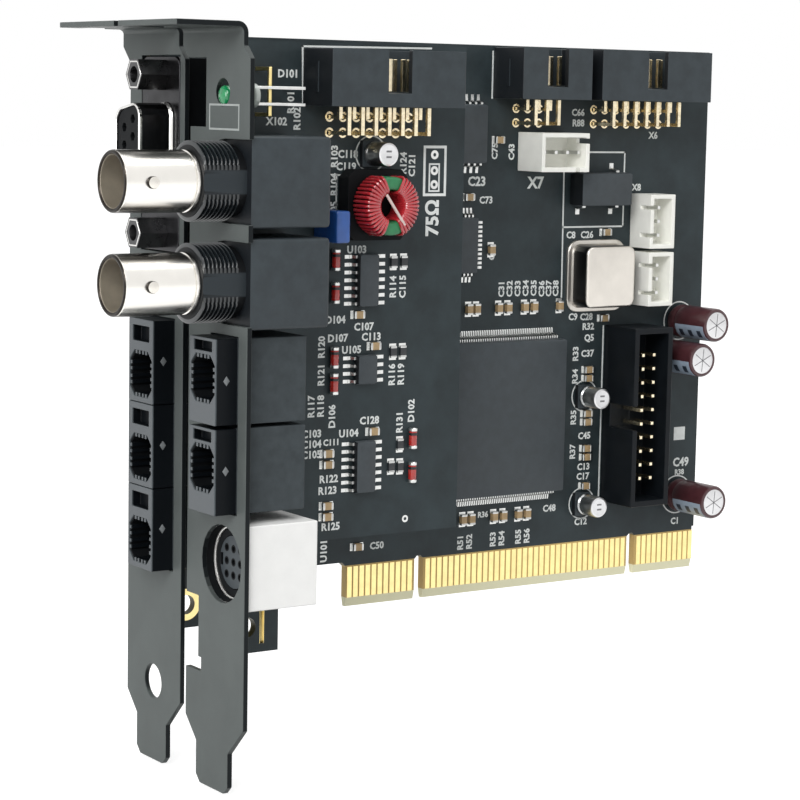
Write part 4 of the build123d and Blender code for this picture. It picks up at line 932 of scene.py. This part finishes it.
# Painted reflection: the cans' sides are a darker copy of the roofs' aluminium, as the dark board would show in
# them.
can_side = finish("can_side", (184, 186, 186), 0.3, 1.0, drift=0.12, patch=0.8, grain=0.1)
cans = []
roofs = []
bars = []
for low, high in solids("can_capacitor_cans"):
    radius = (high.z - low.z) / 2
    face = expansion_face if low.y < -slot_pitch else main_face
    foot, top = -high.y + face.translation.y, -low.y + face.translation.y
    spot = face @ at(*middle_of(low, high))
    profile = shifted(radius, foot, (-0.1, 0), (0, 0.15), (0, 0.5), (-0.2, 0.75), (-0.2, 0.95), (0, 1.2))
    profile += shifted(radius, top, (0, -0.4), (-0.12, -0.12))
    cans.append(moved(turned(profile, count=44), spot))
    roof = shifted(radius, top, (-0.13, -0.2), (-0.13, -0.12), (-0.4, 0), (-0.55, -0.03))
    roofs.append(moved(turned(roof, count=44), spot))
    for rise in (-0.55, 0.35):
        bar = block((-0.5, 0.5), (rise, rise + 0.3), (top - 0.06, top - 0.01))
        bars.append(moved(bar, spot))
piece("can_capacitor_shells", cans, can_side, "can", "can_capacitor_cans")
piece("can_capacitor_roofs", roofs, aluminium, "can")
piece("can_capacitor_bars", bars, score_shade_and_bar_ink, "can")

# Ceramic chip parts: fired blocks with tinned ends, soldered flat to their pads. The capacitors are
# tan all through, and the resistors carry a black glaze.
ceramic = finish("chip_ceramic", (176, 150, 112), 0.5, patch=0.8, grain=0.1)
resistor_glaze = finish("resistor_glaze", (40, 43, 46), 0.3, drift=0.12, patch=0.6, grain=0.08)
resistor_places = [(35.7, 61.8), (37.7, 61.8), (35.9, 47.0), (37.8, 47.0), (35.9, 27.9), (37.7, 27.8)]
resistor_places += [(37.6, 31.5)]
resistor_size = (1.0, 0.62, 0.5)
bodies = []
glazed = []
caps = []


def chip_part(spot, half, side, tall):
    """One part along the first axis: its body, then its two ends and two pads."""
    middle = (-half + 0.3, half - 0.3), (-side + 0.03, side - 0.03), (0.02, tall - 0.02)
    shapes = []
    for end in (-1, 1):
        ends = sorted((end * half, end * (half - 0.42)))
        shapes.append(moved(moulded_block(ends, (-side, side), (0, tall), 0.12, 2), spot))
        pad = sorted((end * (half - 0.3), end * (half + 0.35)))
        shapes.append(moved(block(pad, (-side - 0.05, side + 0.05), (0, 0.05)), spot))
    return moved(moulded_block(*middle, 0.08, 2), spot), shapes


for low, high in solids("chip_parts"):
    face = expansion_face if low.y < -slot_pitch else main_face
    length_x, length_y = high.x - low.x, high.z - low.z
    turn = 0 if length_x > length_y else pi / 2
    half, side = max(length_x, length_y) / 2, min(length_x, length_y) / 2
    spot = face @ at(*middle_of(low, high))
    body, ends = chip_part(spot @ Matrix.Rotation(turn, 4, "Z"), half, side, high.y - low.y)
    bodies.append(body)
    caps += ends
for place in resistor_places:
    spot = expansion_face @ at(*place) @ Matrix.Rotation(pi / 2, 4, "Z")
    body, ends = chip_part(spot, *resistor_size)
    glazed.append(body)
    caps += ends
piece("chip_part_bodies", bodies, ceramic, "chip_ceramic", "chip_parts")
piece("chip_resistor_bodies", glazed, resistor_glaze, "chip_body")
piece("chip_part_ends", caps, tin, "tin")

# Film capacitor: a wound slab of foil and film, dipped in blue lacquer. It stands on two leads that are
# soldered through the expansion board.
blue = finish("blue_coating", (38, 88, 164), 0.3, patch=1.5, grain=0.08, Coat_Weight=0.3)
low, high = extent("film_capacitor")
half_x, half_y, tall = (high.x - low.x) / 2, (high.z - low.z) / 2, high.y - low.y
film = moulded_block((-half_x, half_x), (-half_y, half_y), (0.15, tall), 0.35)
film_middle = middle_of(low, high)
spot = expansion_face @ at(*film_middle)
piece("film_capacitor_coating", [film], blue, "blue_coating", "film_capacitor", place=spot)

# Glass diodes: beads of red glass with a black band at one end, sealed between two tinned caps that are
# soldered flat to their pads.
glass = finish("diode_glass", (176, 40, 34), 0.12, drift=0.15, patch=0.6, grain=0.02, Coat_Weight=0.5)
band_ink = finish("band_ink", (24, 24, 26), 0.4, patch=3.0)
beads = []
ends = []
bands = []
for low, high in solids("glass_diodes"):
    radius = (high.x - low.x) / 2
    half = (high.z - low.z) / 2
    spot = at(*(low + high) / 2)
    bead = shifted(radius, -half, (-0.12, 0.4), (-0.06, 0.6))
    bead += shifted(radius, half, (-0.06, -0.6), (-0.12, -0.4))
    beads.append(moved(turned(bead, count=28), spot))
    cap = shifted(radius, -half, (-0.12, 0), (0, 0.1), (0, 0.5), (-0.1, 0.58))
    for turn in (0, pi):
        ends.append(moved(turned(cap, count=28), spot @ Matrix.Rotation(turn, 4, "X")))
    band = shifted(radius, half, (-0.08, -1.25), (-0.04, -1.24), (-0.04, -0.8), (-0.08, -0.79))
    bands.append(moved(tube(band, count=28), spot))
piece("diode_beads", beads, glass, "diode_glass", "glass_diodes")
piece("diode_ends", ends, tin, "tin")
piece("diode_bands", bands, band_ink, "diode_glass")

# Toroidal choke: a coated ring core wound on both halves with enamelled wire, glued to a black base.
# One bare end of the wire crosses the hole.
dress(deep_black, "choke_base", broken=0.15)
core_finish = finish("core", (44, 122, 78), 0.4, drift=0.12, grain=0.15)
wound_edge = 1.7
wire_finish = finish("enamelled_wire", (178, 42, 50), 0.16, drift=0.12, patch=1.2, grain=0.02,
                     Coat_Weight=1.0)
bare_wire = finish("bare_wire", (214, 196, 190), 0.3, drift=0.06, patch=0.8)
low, high = extent("choke_core")
core_radius = (high.z - low.z) / 2
core_tall = high.y - low.y
core_bore = 2.6
choke_middle = middle_of(low, high)
spot = expansion_face @ at(*choke_middle, -high.y - slot_pitch)
# Painted shade: the core is painted dark brown where the winding covers it, so the gaps between turns read as
# shade.
for side, below in ((-1, True), (1, False)):
    wire_gap_shade = axis_band(core_finish, "X", choke_middle[0] + side * wound_edge, below)
    repaint(core_finish, wire_gap_shade, (52, 20, 20), 0.6)
core_ease = 0.5
wire_radius = 0.27


def core_section(margin, steps=4):
    """The rounded outline of the core's section, as radius and height, going once round it."""
    corners = ((core_radius, core_tall), (core_bore, core_tall), (core_bore, 0), (core_radius, 0))
    loop = []
    for quarter, (radius, height) in enumerate(corners):
        side = -1 if quarter in (1, 2) else 1
        rise = 1 if quarter in (0, 1) else -1
        middle = (radius - side * core_ease, height - rise * core_ease)
        for step in range(steps + 1):
            turn = (quarter + step / steps) * pi / 2
            reach = core_ease + margin
            loop.append((middle[0] + reach * cos(turn), middle[1] + reach * sin(turn)))
    return loop


section = core_section(0)
slice_count = 72
slices = []
for step in range(slice_count):
    turn = -2 * pi * step / slice_count
    slices.append([(radius * cos(turn), radius * sin(turn), height) for radius, height in section])
piece("choke_ring", [closed_skin(slices)], core_finish, "core", "choke_core", place=spot)


def wire_turn(angle, radius):
    """One turn of round wire laid round the core's section."""
    path = core_section(radius)
    loops = []
    for step, (across, height) in enumerate(path):
        before, after = path[step - 1], path[(step + 1) % len(path)]
        ahead = Vector((after[0] - before[0], 0, after[1] - before[1])).normalized()
        out = Vector((ahead.z, 0, -ahead.x))
        side = Vector((0, 1, 0))
        centre = Vector((across, 0, height))
        turns = [2 * pi * corner / 10 for corner in range(10)]
        loops.append([centre + radius * (cos(turn) * out + sin(turn) * side) for turn in turns])
    return moved(closed_skin(loops), Matrix.Rotation(angle, 4, "Z"))


turn_count = 17
turn_angle = 8.2
turns = []
for side in (0, 180):
    for place in range(turn_count):
        angle = radians(side + (place - (turn_count - 1) / 2) * turn_angle)
        turns.append(wire_turn(angle, wire_radius))
piece("choke_wire", turns, wire_finish, "enamelled_wire", "choke_winding", place=spot)
crossing_angle = radians(-54)
lean = Matrix.Rotation(crossing_angle, 4, "Z") @ Matrix.Rotation(pi / 2, 4, "Y")
over_hole = at(0.3, -0.6, core_tall + 0.35)
crossing = turned([(0.18, -3.05), (0.24, -3.0), (0.24, 3.0), (0.18, 3.05)], count=16)
piece("choke_wire_end", [crossing], bare_wire, "enamelled_wire", place=spot @ over_hole @ lean)

# Printing: white ink screened on the component sides, with a designator beside each part and lines
# round the headers, the transformer, the choke and an unused place.
ink = finish("white_ink", (226, 230, 228), 0.6, drift=0.06, grain=0.15)
ink_low, ink_high = -0.01, 0.02


def designator(words, along, up, upright=False, height=1.2):
    """Letters of ink, centred on a place of a board."""
    curve = bpy.data.curves.new("designator", "FONT")
    curve.body = words
    curve.size = height / 0.7
    curve.align_x = "CENTER"
    curve.align_y = "CENTER"
    curve.extrude = ink_high
    curve.offset = 0.05 * height
    curve.resolution_u = 2
    holder = bpy.data.objects.new("designator", curve)
    mesh = bpy.data.meshes.new_from_object(holder)
    spot = at(along, up) @ Matrix.Rotation(pi / 2 if upright else 0, 4, "Z")
    shape = [spot @ vertex.co for vertex in mesh.vertices], [list(face.vertices) for face in mesh.polygons]
    bpy.data.objects.remove(holder)
    bpy.data.curves.remove(curve)
    bpy.data.meshes.remove(mesh)
    return shape


def strokes(width, *places):
    """Lines of ink from place to place."""
    shapes = []
    for (x0, y0), (x1, y1) in zip(places, places[1:]):
        way = Vector((x1 - x0, y1 - y0))
        line = block((-width / 2, way.length + width / 2), (-width / 2, width / 2), (ink_low, ink_high))
        spot = at(x0, y0) @ Matrix.Rotation(way.angle_signed(Vector((1, 0))), 4, "Z")
        shapes.append(moved(line, spot))
    return shapes


expansion_words = [
    ("D101", 15.2, 91.9), ("R101", 15.8, 87.5, True), ("X102", 13.2, 84.4), ("R102", 17.0, 84.9, True),
    ("C118", 26.6, 79.3), ("C119", 26.3, 77.3), ("R124", 37.4, 77.9, True), ("C121", 39.1, 77.6, True),
    ("75Ω", 43.4, 68.9, True, 2.4), ("U103", 28.6, 63.9), ("R114", 35.8, 57.7, True),
    ("C115", 37.7, 57.7, True), ("D104", 24.7, 52.6), ("C107", 30.2, 51.3), ("D107", 25.2, 49.6),
    ("C113", 31.7, 49.6), ("U105", 27.9, 47.6), ("R116", 35.9, 43.2, True), ("R119", 37.7, 43.2, True),
    ("D106", 24.4, 36.9, True), ("C128", 31.6, 35.8), ("U104", 27.6, 33.9), ("C111", 24.3, 32.6, False, 1.0),
    ("R131", 37.6, 35.2, True), ("D102", 39.9, 37.0, True), ("R117", 20.4, 38.7, True),
    ("R118", 22.2, 38.7, True), ("R122", 23.9, 26.6), ("R123", 23.7, 24.7), ("R125", 24.4, 18.7),
    ("U101", 23.2, 14.8, True),
]
expansion_words += [(f"R{103 + step}", 24.1, 79.0 - 4.5 * step, True) for step in range(3)]
expansion_words += [(f"R{120 + step}", 22.2, 48.3 - 4.5 * step, True) for step in range(2)]
expansion_words += [(f"C{103 + step}", 20.5, 34.2 - 1.7 * step) for step in range(3)]
main_words = [
    ("C66", 88.8, 86.4), ("R88", 88.9, 84.5), ("X6", 106.5, 82.4), ("X7", 79.6, 73.7, False, 2.0),
    ("C43", 74.1, 79.3, True), ("C75", 70.4, 79.4, True), ("C23", 66.6, 74.0, False, 1.6),
    ("C73", 68.7, 70.7), ("C74", 70.3, 61.5, True), ("C8", 87.9, 64.2), ("C26", 91.6, 64.2),
    ("X8", 102.9, 72.8), ("C9", 88.9, 49.2), ("C28", 92.0, 49.1), ("R32", 92.5, 47.3), ("Q5", 92.8, 45.2),
    ("C37", 92.5, 42.3), ("R33", 89.8, 42.4, True), ("R34", 89.8, 38.2, True), ("R35", 89.7, 30.6, True),
    ("C45", 92.3, 27.0), ("R37", 89.7, 24.2, True), ("C13", 92.3, 21.2), ("C17", 92.2, 19.4),
    ("C12", 92.0, 10.9), ("C48", 84.6, 14.0), ("R36", 69.6, 14.0, False, 1.0),
    ("C49", 115.8, 20.5, False, 1.6), ("R38", 115.5, 18.6, False, 1.0), ("C1", 114.8, 9.2),
    ("R40", 43.3, 13.6), ("C50", 46.8, 10.3),
]
main_words += [(f"C{31 + step}", 72.6 + 1.8 * step, 54.8, True) for step in range(5)]
main_words += [(f"C{36 + step}", 81.6 + 1.6 * step, 54.6, True) for step in range(3)]
for group, start in enumerate((64.8, 72.0, 77.7)):
    main_words += [(f"R{51 + 2 * group + step}", start + 1.95 * step, 9.3, True) for step in range(2)]
expansion_ink = [designator(*words) for words in expansion_words]
expansion_ink += strokes(0.3, (18.0, 87.1), (17.8, 96.3), (42.4, 96.6))
expansion_ink += drawn_frame((41.3, 45.9), (72.5, 80.8), 0.45, ink_low, ink_high)
expansion_ink += drawn_frame((42.4, 44.6), (73.2, 77.9), 0.28, ink_low, ink_high)
expansion_ink += strokes(0.25, (36.5, 76.2), (24.5, 76.0), (24.5, 65.8), (36.5, 65.8))
main_ink = [designator(*words) for words in main_words]
main_ink += strokes(0.3, (86.1, 53.0), (85.9, 79.3), (99.9, 79.3), (99.9, 65.7), (86.0, 65.7))
main_ink += strokes(0.3, (69.5, 88.8), (69.5, 96.9))
main_ink += strokes(0.3, (96.05, 14.4), (96.05, 47.3))
main_ink.append(block((113.85, 116.55), (24.85, 27.35), (ink_low, ink_high)))
for low, high in solids("can_capacitor_cans"):
    rows = expansion_ink if low.y < -slot_pitch else main_ink
    rows.append(washer(*middle_of(low, high), 3.0, 2.75, ink_low, ink_high, 40))
for low, high in solids("radial_capacitors"):
    main_ink.append(washer(*middle_of(low, high), 3.7, 3.45, ink_low, ink_high, 48))
piece("main_board_printing", main_ink, ink, "board", place=main_face)
piece("expansion_board_printing", expansion_ink, ink, "board", place=expansion_face)

# Solder joints: domes of solder round the pins that come through the boards, and bare plated rings
# where a place is left empty.
solder = finish("solder", (196, 198, 198), 0.32, 1.0, drift=0.12, patch=0.8)
d_tail_row = 8.2
lamp_leg_row = 14.45
joints = tail_places + lead_places
for name in ("upright_header_pins", "socket_pins"):
    joints += [(main_face, *middle_of(low, high)) for low, high in solids(name)]
for face, (along, up), half in ((main_face, oscillator_middle, 3.81), (expansion_face, choke_middle, 3.8)):
    joints += [(face, along + x * half, up + y * half) for x in (-1, 1) for y in (-1, 1)]
joints += [(expansion_face, film_middle[0], film_middle[1] + side * lead_half) for side in (-1, 1)]
joints += [(expansion_face, lamp_leg_row, lamp_up + side * 1.27) for side in (-1, 1)]
joints += [(main_face, d_tail_row + across, up) for across, up in d_contacts]
dome = [(0.95, 0), (0.86, 0.12), (0.6, 0.42), (0.42, 0.8), (0.38, 1.05), (0.2, 1.12)]
domes = []
for face, along, up in joints:
    behind = face @ at(along, up, -board_thickness) @ Matrix.Rotation(pi, 4, "X")
    domes.append(moved(turned(dome, count=18), behind))
piece("solder_joints", domes, solder, "tin")
rings = [washer(43.5, up, 0.75, 0.3, 0, 0.05) for up in (74.4, 76.7, 79.3)]
rings.append(washer(39.0, 18.9, 0.6, 0.28, 0, 0.04))
piece("empty_pads", rings, tin, "tin", place=expansion_face)

# Stage: a pale painted floor in a white room. Both are white to sight and dimmer to the light that
# bounces about, so that the card keeps its shadow and metal shows the white.
floor_mesh = bpy.data.meshes.new("floor")
floor_mesh.from_pydata([(-4, -4, 0), (4, -4, 0), (4, 4, 0), (-4, 4, 0)], [], [(0, 1, 2, 3)])
floor = bpy.data.objects.new("floor", floor_mesh)
floor.location.z = cad_box[0][2] - 0.0005
bpy.context.scene.collection.objects.link(floor)
floor_finish = finish("floor_paint", (188, 188, 188), 0.9, drift=0.01, patch=40.0, grain=0.02)
floor_mesh.materials.append(floor_finish)
paint = floor_finish.node_tree.nodes["Principled BSDF"]
paint.inputs["Emission Color"].default_value = (1, 1, 1, 1)


def white_to_sight(tree, dim, bright, target):
    """A strength that is brighter to camera, glossy and transmission rays than to other light."""
    path = tree.nodes.new("ShaderNodeLightPath")
    sight = path.outputs["Is Camera Ray"]
    for ray in ("Is Glossy Ray", "Is Transmission Ray"):
        either = tree.nodes.new("ShaderNodeMath")
        either.operation = "MAXIMUM"
        tree.links.new(sight, either.inputs[0])
        tree.links.new(path.outputs[ray], either.inputs[1])
        sight = either.outputs[0]
    strength = tree.nodes.new("ShaderNodeMapRange")
    strength.inputs["To Min"].default_value = dim
    strength.inputs["To Max"].default_value = bright
    tree.links.new(sight, strength.inputs["Value"])
    tree.links.new(strength.outputs[0], target)


white_to_sight(floor_finish.node_tree, 0.0, 0.75, paint.inputs["Emission Strength"])
room = bpy.data.worlds.new("room")
room.use_nodes = True
bpy.context.scene.world = room
sky = room.node_tree.nodes["Background"]
sky.inputs["Color"].default_value = (1, 1, 1, 1)
white_to_sight(room.node_tree, 0.55, 1.0, sky.inputs["Strength"])

# Lamps: three square soft boxes on stands, in metres and watts. The key stands up and to the left, one
# hangs over the card, and a low one at the left lights the brackets.
lamp_side = 0.6
card_middle = Vector((0.05, 0.0, 0.05))
lamps = [("key_lamp", (-0.75, -0.7, 0.7), 9.0), ("top_lamp", (0.3, -0.1, 1.1), 4.0)]
lamps += [("left_lamp", (-1.1, -0.15, 0.18), 6.0)]
for name, place, power in lamps:
    data = bpy.data.lights.new(name, "AREA")
    data.shape = "RECTANGLE"
    data.size = lamp_side
    data.size_y = lamp_side
    data.energy = power
    made = bpy.data.objects.new(name, data)
    made.location = place
    made.rotation_euler = (card_middle - Vector(place)).to_track_quat("-Z", "Y").to_euler()
    bpy.context.scene.collection.objects.link(made)

# Camera: a long lens in front of the card and to its left, a little above its middle and tipped down.
# It is held slightly out of level, as the photograph was.
camera_data = bpy.data.cameras.new("camera")
camera_data.lens = 109.944
camera_data.sensor_width = 36.0
camera = bpy.data.objects.new("camera", camera_data)
bpy.context.scene.collection.objects.link(camera)
heading, dip, tilt = radians(33.72), radians(7.06), radians(1.09)
aim = Matrix.Rotation(-heading, 4, "Z") @ Matrix.Rotation(pi / 2 - dip, 4, "X")
aim = aim @ Matrix.Rotation(tilt, 4, "Z")
camera.matrix_world = at(-0.18506, -0.35389, 0.08857) @ aim
bpy.context.scene.camera = camera
bpy.context.scene.view_settings.view_transform = "Standard"
